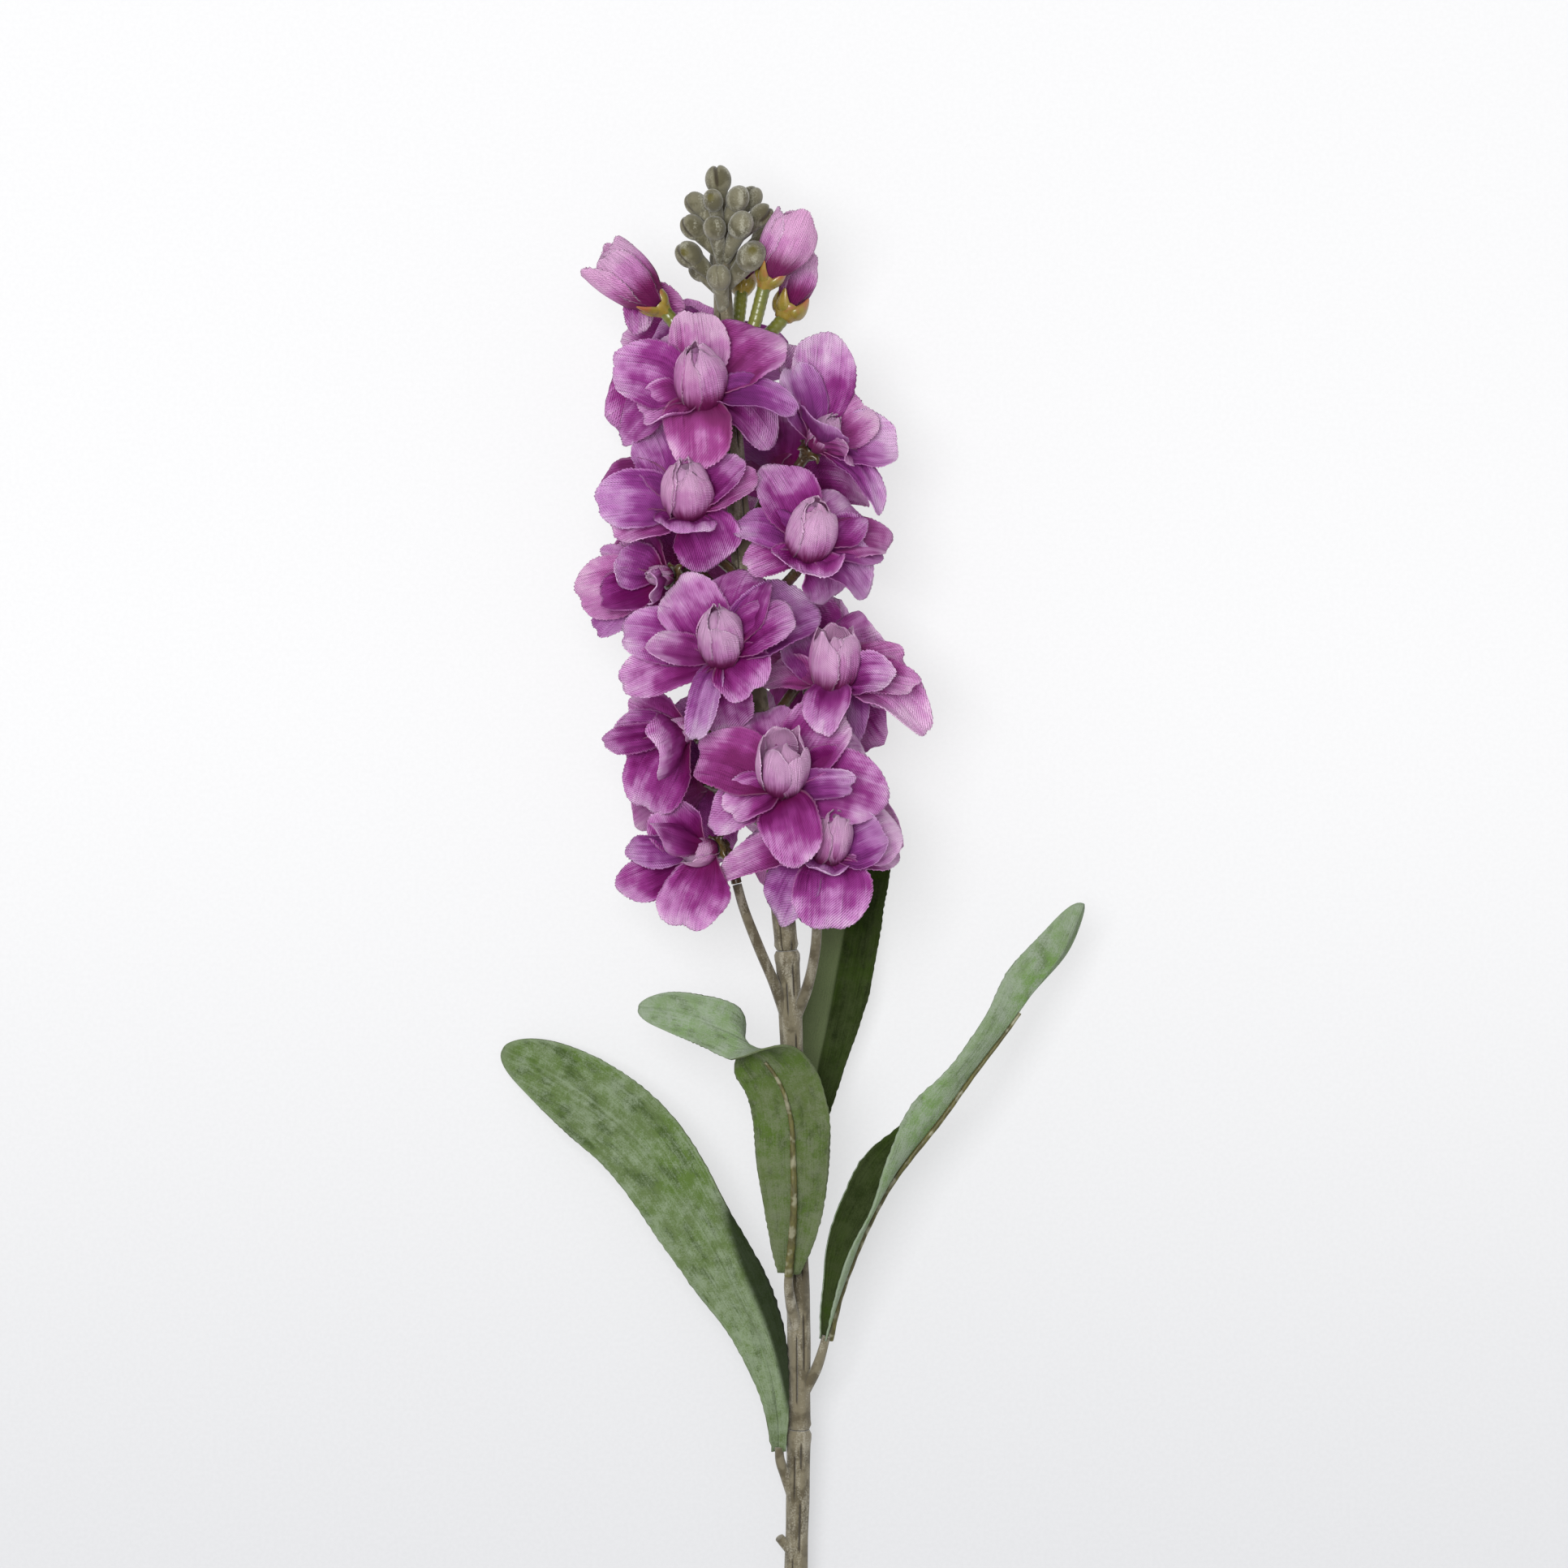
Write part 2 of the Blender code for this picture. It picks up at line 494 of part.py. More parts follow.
def tree_of(points):
    tree = KDTree(len(points))
    for index, point in enumerate(points):
        tree.insert(point, index)
    tree.balance()
    return tree


def is_clear(tree, points, least):
    for point in points:
        if tree.find(point)[2] < least:
            return False
    return True


def leaf_surface(name, u, v):
    """Points and normals of a leaf at u along it and v across it."""
    points, width, channel, wave = LEAVES[name]
    line = curve([(*at(*point[:3]), point[3]) for point in points], LINE_POINTS)
    steps = np.linspace(0, 1, LINE_POINTS)
    centre = np.stack([np.interp(u, steps, line[:, axis]) for axis in range(3)], -1)
    tangents = unit(np.gradient(line[:, :3], axis=0))
    along = unit(np.stack([np.interp(u, steps, tangents[:, axis]) for axis in range(3)], -1))
    side = unit(np.cross(along, UP))
    face = np.cross(side, along)
    roll = np.radians(np.interp(u, steps, line[:, 3]))[..., None]
    side, face = side * np.cos(roll) + face * np.sin(roll), face * np.cos(roll) - side * np.sin(roll)
    grown = 0.16 + 0.84 * np.sin(np.minimum(u / 0.62, 1.0) * math.pi / 2) ** 1.3
    rounded = np.sqrt(np.maximum(1 - (np.maximum(u - 0.62, 0.0) / 0.4) ** 2.4, 0.0))
    half = width * STEP / 2 * grown * rounded
    flat = half * v * (1 - (channel * v) ** 2 / 6)
    ripple = wave * np.sin(15 * u + 2.2 * np.sign(v) + len(name)) * v**2 * np.minimum(1.0, 3 * u)
    lift = half * channel * np.abs(v) ** 1.5 / 2 + ripple
    return centre + side * flat[..., None] + face * lift[..., None], face


def grid_normals(points):
    """Normals of a grid of points, from its neighbours."""
    return unit(np.cross(np.gradient(points, axis=1), np.gradient(points, axis=0)))


def leaf_grid(name):
    v, u = np.meshgrid(np.linspace(-1, 1, 5), np.linspace(0, 1, LEAF_ROWS))
    points, face = leaf_surface(name, u, v)
    points[..., 2] = np.maximum(points[..., 2], FLOOR)
    normals = grid_normals(points)
    return points, normals * np.sign(np.sum(normals * face, -1, keepdims=True))


def solid_obstacles():
    """Points on what the petals have to clear: the stem, branchlets, stalks, calyces, buds and leaves."""
    shared, own = [], {}
    shared.append(tube(STEM[:150], [stem_radius(down) for down in STEM_DOWN[:150]], 10).reshape(-1, 3))
    for path in BRANCHLETS.values():
        shared.append(tube(curve([at(*point) for point in path], 24), [1.3] * 24, 8).reshape(-1, 3))
    for name in LEAVES:
        shared.append(refined(leaf_grid(name)[0], 8).reshape(-1, 3))
    for bud in TIP_BUDS:
        shared.append(refined(tip_bud(*bud), 6).reshape(-1, 3))
    for name in BLOOMS:
        bloom = bloom_frame(name)
        calyx = refined(calyx_rings(name), 3).reshape(-1, 3)
        bud = refined(bud_rings(bloom, BLOOMS[name][3], bud_sides(name)), 3).reshape(-1, 3)
        own[name] = (calyx, bud)
    return np.concatenate(shared), own


def fits(name, samples, trees):
    """How a petal fits: 0 not at all, 1 clear of all but its own bloom's petals, 2 clear of those too."""
    around, calyx, mine = trees
    if samples[..., 2].min() < FLOOR:
        return 0
    if not is_clear(around, samples[2:].reshape(-1, 3), CLEAR):
        return 0
    if not is_clear(calyx, samples[4:].reshape(-1, 3), CALYX_CLEAR):
        return 0
    outer = samples[6 if name.startswith("half") else 4:]
    return 2 if is_clear(mine, outer.reshape(-1, 3), OWN_CLEAR) else 1


def settle_petals():
    """Every petal of every bloom, eased until it clears the other blooms, the stem and the leaves."""
    shared, own = solid_obstacles()
    settled, placed = {}, {}
    for name in BLOOMS:
        bloom = bloom_frame(name)
        others = [shared] + [points for other in own if other != name for points in own[other]]
        others += [points for other in placed for points in placed[other]]
        around, calyx = tree_of(np.concatenate(others)), tree_of(own[name][0])
        mine = [own[name][1]]
        settled[name], placed[name] = [], []
        for number, asked in enumerate(wanted_petals(name)):
            trees = (around, calyx, tree_of(np.concatenate(mine)))
            chosen, best = None, 0
            for change in CHANGES:
                if best and change[0] > FAR_FOR_OWN:
                    break
                petal = eased(bloom, asked, change, number)
                coarse = petal_grid(name, petal)[0]
                fit = fits(name, refined(coarse, SAMPLES // (len(coarse) - 1)), trees)
                if fit > best:
                    chosen, best = petal, fit
                if best == 2:
                    break
            if chosen is None:
                print("no room for petal", number, "of", name)
                continue
            settled[name].append(chosen)
            coarse = petal_grid(name, chosen)[0]
            samples = refined(coarse, 2 * SAMPLES // (len(coarse) - 1))
            placed[name].append(samples.reshape(-1, 3))
            mine.append(samples[7:].reshape(-1, 3))
    return settled


def build_blooms():
    for name, petals in settle_petals().items():
        bloom = bloom_frame(name)
        pieces = [closed_tube(bud_rings(bloom, BLOOMS[name][3], bud_sides(name)), name)]
        for petal in petals:
            points, normals = petal_grid(name, petal)
            pieces.append(blade(points, normals, PETAL_THICK, name))
        fuse(pieces, "petals_" + name, "petals")
        fuse([closed_tube(calyx_rings(name), name)], "calyx_" + name, "calyx")


def build_leaves():
    for name in LEAVES:
        points, normals = leaf_grid(name)
        fuse([blade(points, normals, LEAF_THICK, name)], "leaf_" + name, "leaf")
        middle, face = points[:, 2], normals[:, 2]
        rows = RIB_ROWS[name]
        radii = np.linspace(*RIB_RADII, rows)
        line = middle[:rows] - face[:rows] * (LEAF_THICK / 2 + GAP + radii)[:, None]
        fuse([closed_tube(tube(line, radii, 6), name)], "rib_" + name, "rib")


def tip_bud(across, down, over, radius, leaves):
    """Rings of a closed bud on a short stalk out of the stem."""
    root = stem_at(leaves)
    middle = at(across, down, stem_at(down)[2] + over)
    way = unit(middle - root)
    reach = radius * STEP
    places = [middle + way * reach * along for along in (-1.0, -0.3, 0.55, 1.0)]
    return tube([root] + places, [1.1, 0.6 * reach, reach, 0.88 * reach, 0.42 * reach], 6)


def grooved(angles, ring):
    """Three shallow grooves along the stem."""
    return np.where(np.cos(3 * angles) > 0.9, 0.84, 1.0)


def joint_way(down):
    return unit(stem_at(down + 15) - stem_at(down - 15))


def leaf_stalk(name):
    """A short stalk that ends just short of its leaf, in line with it."""
    first, second = [at(*point[:3]) for point in LEAVES[name][0][:2]]
    way = unit(second - first)
    line = [at(*point) for point in LEAF_STALKS[name]] + [first - way * 2.2, first - way * (GAP + 0.1)]
    return tube(line, [1.7, 1.4, 1.2, 1.1], 6)


def stem_pieces(name, top, bottom):
    """The rod of one moulded length with its plug and what is moulded on it."""
    path = [stem_at(down) for down in np.linspace(top, bottom, 9)]
    if top in JOINTS:
        start = path[0] + joint_way(top) * GAP
        path[:1] = [start, start + joint_way(top)]
    if bottom in JOINTS:
        path[-1:] = [path[-1] - joint_way(bottom), path[-1]]
    radii = [stem_radius(MIDDLE_DOWN - point[1] / STEP) for point in path]
    rings = [tube(path, radii, 12, grooved)]
    if bottom in JOINTS:
        way = joint_way(bottom)
        rings.append(tube([path[-1] - way, path[-1] + way * PLUG_LONG], [PLUG_RADIUS] * 2, 8))
    if name == "stem_upper":
        rings += [tip_bud(*bud) for bud in TIP_BUDS]
    if name == "stem_middle":
        for points in BRANCHLETS.values():
            line = curve([at(*point) for point in points], 7)
            rings.append(tube(line, [1.6, 1.4, 1.3, 1.3, 1.3, 1.3, 1.2], 6))
    if name == "stem_lower":
        rings.append(tube(curve([at(*point) for point in STUB], 3), [1.7, 1.4, 1.3], 6))
    rings += [leaf_stalk(leaf) for leaf in STALKS_OF[name]]
    return [closed_tube(ring, name) for ring in rings], path[0]


def build_stem():
    tops = (STEM_PATH[0][1],) + JOINTS
    bottoms = JOINTS + (STEM_END,)
    for name, top, bottom in zip(STALKS_OF, tops, bottoms):
        pieces, start = stem_pieces(name, top, bottom)
        body = fuse(pieces, name, "stem")
        if top in JOINTS:
            cut_socket(body, start, joint_way(top))


def cut_socket(body, start, way):
    """A hole in the upper end that takes the plug of the length above."""
    line = [start - way * 2, start + way * (PLUG_LONG + 1)]
    cutter = closed_tube(tube(line, [PLUG_RADIUS + GAP] * 2, 8), "socket")
    cut = body.modifiers.new("Socket", "BOOLEAN")
    cut.operation = "DIFFERENCE"
    cut.object = cutter
    cut.solver = "EXACT"
    apply_modifiers(body)
    bpy.data.objects.remove(cutter)


def set_origin():
    """Hangs everything on one empty, placed so that the origin is under the middle of the whole."""
    bodies = [obj for obj in bpy.data.objects if obj.type == "MESH"]
    corners = np.array([vert.co[:] for obj in bodies for vert in obj.data.vertices])
    low, high = corners.min(axis=0), corners.max(axis=0)
    whole = bpy.data.objects.new("whole", None)
    bpy.context.scene.collection.objects.link(whole)
    whole.location = (-(low[0] + high[0]) / 2, -(low[1] + high[1]) / 2, -low[2])
    for obj in bodies:
        obj.parent = whole
    print("placed by", [round(value * 1000, 3) for value in whole.location], "size", (high - low).round(4))


def main():
    for obj in list(bpy.data.objects):
        bpy.data.objects.remove(obj)
    build_stem()
    build_leaves()
    build_blooms()
    set_origin()


main()
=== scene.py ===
"""The looks of an artificial stock stem lying down: woven petals, glossy calyces, a flocked stem and leaves.

Layout points are (across, down, height). The first two count steps of STEP millimetres, seen from above
with the tip of the stem at the top, and the third is in millimetres above the surface.
"""

import math

import bmesh
import bpy
import numpy as np
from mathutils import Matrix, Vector


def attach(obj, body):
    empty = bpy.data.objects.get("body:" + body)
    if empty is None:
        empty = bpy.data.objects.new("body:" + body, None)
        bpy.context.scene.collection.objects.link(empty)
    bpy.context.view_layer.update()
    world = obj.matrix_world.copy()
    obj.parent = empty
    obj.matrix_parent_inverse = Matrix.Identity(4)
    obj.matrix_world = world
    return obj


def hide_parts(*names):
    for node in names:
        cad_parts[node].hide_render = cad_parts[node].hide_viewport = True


STEP = 0.22
MIDDLE = 966.0
UP = np.array([0.0, 0.0, 1.0])
TO_TIP = np.array([0.0, 1.0, 0.0])
# Millimetres from the layout's middle to the object's own origin, and to the surface it lies on.
ORIGIN = np.array([-1.579, 70.361, -0.55])
METRES = 0.001

# Millimetres: the gap between neighbouring pieces, the layout height of the surface, how far over it things
# stay, and how thick the cloth of petals and of leaves is.
GAP = 0.3
FLOOR, CLEAR = 0.55, 0.02
CLOTH, LEAF_CLOTH = 0.26, 0.5

STEM_PATH = [
    (887, 222, 43), (889, 300, 43), (893, 400, 42), (900, 500, 41), (905, 560, 40), (912, 650, 39.5),
    (922, 760, 39), (935, 880, 38.5), (950, 1000, 38), (965, 1120, 36.5), (970, 1170, 35.5),
    (974, 1240, 33.5), (979, 1400, 28), (981, 1500, 24.5), (985, 1640, 19.5), (985, 1768, 15.2),
    (984, 1850, 12.5), (982, 1932, 10.2), (980, 2100, 6.5), (978, 2250, 4.2), (977, 2366, 3.7),
]
# How thick the stem is, as (down, radius), and where its moulded lengths meet.
STEM_RADIUS = [(222, 1.3), (300, 2.1), (400, 2.7), (700, 2.9), (1170, 3.05), (2366, 3.15)]
JOINTS = (1170, 1768)
PLUG_LONG, PLUG_RADIUS = 6.0, 1.7
STALK_SEAT = 0.65

# Closed buds of the tip: across, down, height over the stem, radius in steps, how far down its stalk leaves,
# where its cleft lies round it and how deep that is.
TIP_BUDS = [
    (885, 222, 0, 16, 250, 0.15, 1.0), (858, 252, 1, 14, 285, 0.9, 0.6), (879, 250, 8, 13, 290, 1.5, 0.3),
    (909, 247, 4, 15, 290, 1.4, 0.2), (925, 243, -5, 14, 285, 0.6, 0.5), (938, 266, 0, 14, 310, -0.5, 1.0),
    (854, 281, 2, 15, 318, 0.8, 0.8), (881, 284, 9, 14, 328, 0.3, 0.3), (913, 280, 8, 16, 328, 1.5, 0.2),
    (849, 315, 3, 16, 352, 0.7, 0.7), (926, 318, 7, 18, 358, 1.6, 0.2), (886, 344, 7, 15, 388, 0.1, 0.4),
    (940, 292, -6, 13, 335, 0.5, 0.5), (862, 331, -7, 14, 366, 0.9, 0.5), (887, 268, -9, 15, 305, 0.4, 0.5),
    (890, 316, -10, 16, 352, 0.4, 0.5),
]
# The buds with an olive spot, and how far aside that lies.
EYED = (2, 9, 10)
EYE_ASIDE = -0.2

# Blooms: base, the way they face, how far down the stem their stalk leaves, length and radius of the closed
# middle, and petals. A petal is its tip (across, down, height), its width in steps, its cupping, how bleached
# it is from -1 for the darkest to 1, partly the print's own variation and partly painted shade on petals that
# face away, and, where it isn't even, how much more it cups on one side.
BLOOMS = {
    "a": ((866, 508, 56), (-0.08, 0.78, 0.62), 590, (21.0, 6.0), [
        (860, 384, 53, 54, 0.35, 1.2), (958, 414, 48, 78, 0.4, -0.1, 0.1),
        (753, 461, 56, 66, 0.3, 0.2, 0.1), (792, 522, 64, 46, 0.6, 0.2, 0.5),
        (860, 584, 64, 62, 0.25, -0.4), (985, 512, 62, 40, 0.6, -0.3, -0.5), (797, 402, 46, 52, 0.3, 0.8),
        (752, 522, 50, 50, 0.4, -0.4), (952, 552, 47, 54, 0.3, 0.0)]),
    "f": ((891, 818, 58), (-0.1, 0.42, 0.9), 885, (19.5, 5.5), [
        (831, 721, 51, 60, 0.3, 0.7), (922, 703, 51, 66, 0.35, -0.3), (980, 754, 63, 52, 0.4, 0.2, -0.3),
        (768, 776, 54, 52, 0.3, 0.1, 0.1), (940, 847, 64, 58, 0.5, -0.1, -0.2),
        (790, 806, 63, 32, 0.4, 0.5, 0.3), (765, 838, 54, 46, 0.4, 0.2), (856, 913, 60, 30, 0.5, 0.7, 0.2),
        (906, 911, 52, 54, 0.3, -0.1), (1008, 740, 49, 64, 0.3, 0.1)]),
    "i": ((963, 982, 57), (0.02, 0.55, 0.83), 1045, (20.0, 6.0), [
        (853, 932, 54, 62, 0.4, -0.4, 0.1), (1036, 882, 50, 60, 0.4, 0.2),
        (897, 984, 63, 44, 0.5, 0.2, 0.3), (1055, 965, 64, 30, 0.7, 0.0, 0.2),
        (988, 1066, 66, 56, 0.25, -0.2), (1088, 968, 54, 68, 0.3, 0.0), (873, 1010, 53, 46, 0.4, 0.3),
        (1077, 905, 45, 50, 0.3, 0.5), (942, 867, 46, 52, 0.3, 0.1)]),
    "c": ((848, 640, 54), (-0.02, 0.45, 0.89), 705, (20.0, 6.0), [
        (803, 522, 49, 62, 0.35, 0.2), (742, 606, 54, 54, 0.35, 0.4, 0.1),
        (916, 569, 63, 36, 0.7, -0.1, -0.2), (929, 586, 62, 36, 0.7, 0.1, -0.3),
        # Petal (723, 584) of c faces away and is painted dark for the shade it lies in.
        (843, 655, 68, 58, 0.5, 0.2), (723, 584, 43, 52, 0.7, -1.3), (752, 650, 56, 48, 0.5, 0.4, 0.2),
        (884, 698, 52, 62, 0.3, 0.0)]),
    "d": ((991, 689, 56), (0.2, 0.55, 0.81), 750, (20.5, 6.0), [
        (950, 578, 50, 54, 0.4, 0.2), (1048, 612, 48, 60, 0.35, 0.4), (905, 645, 56, 40, 0.4, 0.1, 0.1),
        (1090, 662, 50, 46, 0.4, 0.1), (990, 712, 66, 66, 0.6, 0.2), (1080, 722, 54, 56, 0.4, 0.3, -0.2),
        (917, 700, 57, 44, 0.5, 0.1, 0.2), (1097, 672, 43, 40, 0.5, 0.0), (1030, 744, 50, 60, 0.3, 0.2)]),
    "k": ((1015, 1064, 52), (0.2, 0.6, 0.77), 0, (18.5, 5.2), [
        (1102, 1003, 46, 74, 0.35, 1.3), (1092, 1029, 58, 54, 0.5, 0.4, -0.2),
        (903, 1048, 44, 36, 0.4, 0.9), (1016, 1147, 54, 70, 0.25, 0.2), (1007, 1078, 64, 48, 0.6, 0.2),
        (890, 1082, 44, 36, 0.5, -0.1), (1109, 1049, 42, 44, 0.3, 0.4), (956, 1141, 42, 52, 0.3, 0.2)]),
    "g": ((1025, 860, 48), (0.04, 0.9, 0.43), 915, (20.0, 5.9), [
        (1119, 813, 42, 38, 0.3, 0.1), (1090, 818, 58, 40, 0.6, 0.7, -0.2),
        (1012, 908, 61, 42, 0.5, 0.3, 0.2), (1130, 847, 50, 36, 0.4, 0.0), (1149, 870, 44, 54, 0.4, 0.9),
        (938, 843, 44, 32, 0.4, 0.0), (955, 803, 40, 42, 0.4, 0.0), (1086, 871, 38, 36, 0.3, -0.2),
        (1067, 890, 34, 34, 0.3, 0.3)]),
    "e": ((830, 712, 50), (-0.8, 0.05, 0.6), 775, (8.5, 2.5), [
        (761, 688, 55, 46, 0.4, 0.1), (788, 725, 66, 32, 0.4, 0.7), (709, 733, 46, 56, 0.3, 0.7),
        (741, 744, 54, 42, 0.7, -1.2), (738, 778, 43, 34, 0.4, 0.0), (737, 694, 40, 40, 0.3, 0.2),
        (768, 662, 44, 46, 0.3, -0.3)]),
    "j": ((884, 1044, 42), (-0.8, -0.25, 0.5), 0, (11.0, 3.2), [
        (820, 993, 42, 52, 0.4, -0.1), (771, 1049, 42, 32, 0.5, -0.3), (792, 1058, 57, 36, 0.6, -0.5, 0.2),
        (839, 1142, 50, 66, 0.25, 0.4), (758, 1096, 43, 42, 0.3, -0.2), (804, 1101, 33, 36, 0.3, -0.1)]),
    "b": ((998, 556, 45), (0.6, 0.72, 0.34), 645, (12.0, 3.6), [
        (1018, 411, 46, 62, 0.3, 1.0), (1059, 489, 50, 58, 0.5, 0.6, 0.2), (1014, 524, 64, 50, 0.3, 0.0),
        (1107, 551, 43, 58, 0.3, 0.9), (1050, 557, 58, 36, 0.6, 0.3), (977, 450, 52, 50, 0.4, 0.8),
        (1084, 634, 48, 30, 0.35, 0.0), (983, 422, 38, 40, 0.3, 0.6)]),
    "h": ((860, 898, 43), (-0.85, -0.15, 0.45), 960, (11.0, 3.2), [
        (816, 929, 61, 58, 0.6, 0.0), (797, 1003, 40, 68, 0.3, -0.2), (742, 916, 44, 28, 0.6, -0.3),
        (759, 904, 38, 42, 0.3, 0.3), (756, 958, 34, 46, 0.4, -0.3), (776, 868, 42, 44, 0.4, 0.1)]),
    "half_left": ((812, 378, 43), (-0.75, 0.66, 0.06), 455, (21.5, 6.6), [
        (793, 412, 39, 44, 0.4, -0.1), (845, 384, 37, 34, 0.3, -0.8)]),
    "half_right": ((946, 345, 45), (0.42, 0.9, 0.08), 425, (18.5, 6.2), []),
    "half_side": ((971, 380, 34), (0.45, 0.87, -0.2), 436, (12.5, 4.2), []),
    "half_back": ((914, 352, 30), (0.1, 0.8, -0.6), 428, (11.0, 3.6), []),
}
# Blooms at the back, as the base, the way they face, and how far down the stem their stalk leaves.
BACKS = [
    ((866, 452, 25), (-0.35, 0.5, -0.8), 510), ((958, 590, 27), (0.55, 0.5, -0.68), 645),
    ((858, 700, 24), (-0.45, 0.45, -0.77), 752), ((992, 835, 24), (0.5, 0.45, -0.74), 890),
    ((884, 965, 23), (-0.45, 0.45, -0.78), 1015), ((1010, 1040, 22), (0.45, 0.5, -0.74), 1095),
]
BACK_MIDDLE = (15.96, 5.2)
BLOOMS.update({f"back_{number}": (*back, BACK_MIDDLE, []) for number, back in enumerate(BACKS, 1)})
# Petals of a back bloom: turn round the axis, opening from it, length and width in millimetres.
BACK_PETALS = [
    (20, 56, 24, 14), (140, 58, 23, 14), (260, 56, 24, 14), (-15, 86, 27, 16), (60, 84, 28, 16),
    (128, 88, 27, 16), (200, 84, 28, 16), (275, 86, 27, 16),
]
BACK_CUP = 0.35
# How each petal is turned or rolled aside to clear its neighbours, in degrees: opening, turn, roll.
EASED = {
    "a": {1: (0, 0, -16), 6: (14, 0, 0), 7: (14, 0, 0)},
    "f": {0: (-14, 0, 0), 1: (0, 0, -16), 2: (0, 0, -16), 4: (0, -7, 0), 5: (-14, 0, 0), 6: (0, 7, 0),
          8: (7, -7, 0), 9: (7, 0, 0)},
    "i": {1: (-7, 0, 0), 2: (14, 7, 0), 4: (0, -3, 16), 5: (7, -7, 0), 6: (0, 7, 0), 7: (14, 0, 16)},
    "c": {1: (0, 7, 0), 3: (7, 0, 0), 5: (24, 0, 0), 6: (0, 7, 16)},
    "d": {1: (0, -7, 0), 3: (14, 0, 0), 5: (14, 0, -16), 8: (7, 0, 0)},
    "k": {7: (0, -7, 0)},
    "g": {1: (14, 0, 16), 4: (14, -7, 0), 6: (-22, 0, 0), 8: (24, 0, 0)},
    "e": {1: (14, 0, 0), 6: (7, 0, 0)},
    "j": {2: (24, 0, 0), 4: (14, 0, 0)},
    "b": {1: (24, 0, 0), 4: (7, 0, 16), 7: (7, 0, 0)},
    "h": {2: (7, 0, 0), 4: (24, 0, 0), 5: (14, 7, 0)},
    "back_1": {3: (-22, 0, 0), 7: (-14, 0, 0)},
    "back_6": {1: (0, 24, 0), 4: (0, -7, 0), 5: (0, 24, 0), 6: (0, 7, 16)},
}
# Petals that are smaller, and back petals that would show beside the stem: how much of their length is kept.
SMALLER = {("k", 2): 0.9, ("k", 4): 0.9, ("back_5", 6): 0.9}
SHORTER = {("back_1", 0): 0.6, ("back_1", 3): 0.5, ("back_1", 7): 0.6, ("back_6", 0): 0.8, ("back_6", 4): 0.5}
# Degrees between a bloom's axis and the claws of its petals, and the least a petal opens.
OPEN_SPREAD, HALF_SPREAD = 46, 18
LEAST_OPENING = 12
# How high in the bloom its first three petals start, how much lower each next three do, and how far out.
ROOT_HIGH, ROOT_LOWER, ROOT_OUT = 2.8, 0.9, 1.3
# The loose petals of a half-open bloom are counted from here, so they start lower than its first three.
FIRST_LOOSE = 4
# How much broader petals are made than asked for, and how far the front ones are turned to lie level.
FULL, WIDER, LOOSE_WIDER = 1.04, 1.36, 0.95
LEVEL, LOOSE_LEVEL = 0.55, 0.85
# How wide the claw is, and where along the petal it has become the blade and the round end begins.
CLAW_WIDE, BLADE_AT, PETAL_TIP = 0.2, 0.52, 0.6
PETAL_GRID, BACK_GRID, HEART_GRID = (36, 27), (18, 11), (30, 23)
FRAY, LEAF_FRAY = 0.16, 0.22
# What each corner of a petal keeps for the printed cloth and for the painted shade and light of its folds.
PETAL_MARKS = ("along", "across", "edge", "tint", "pale", "warp", "weft", "fold", "hue")

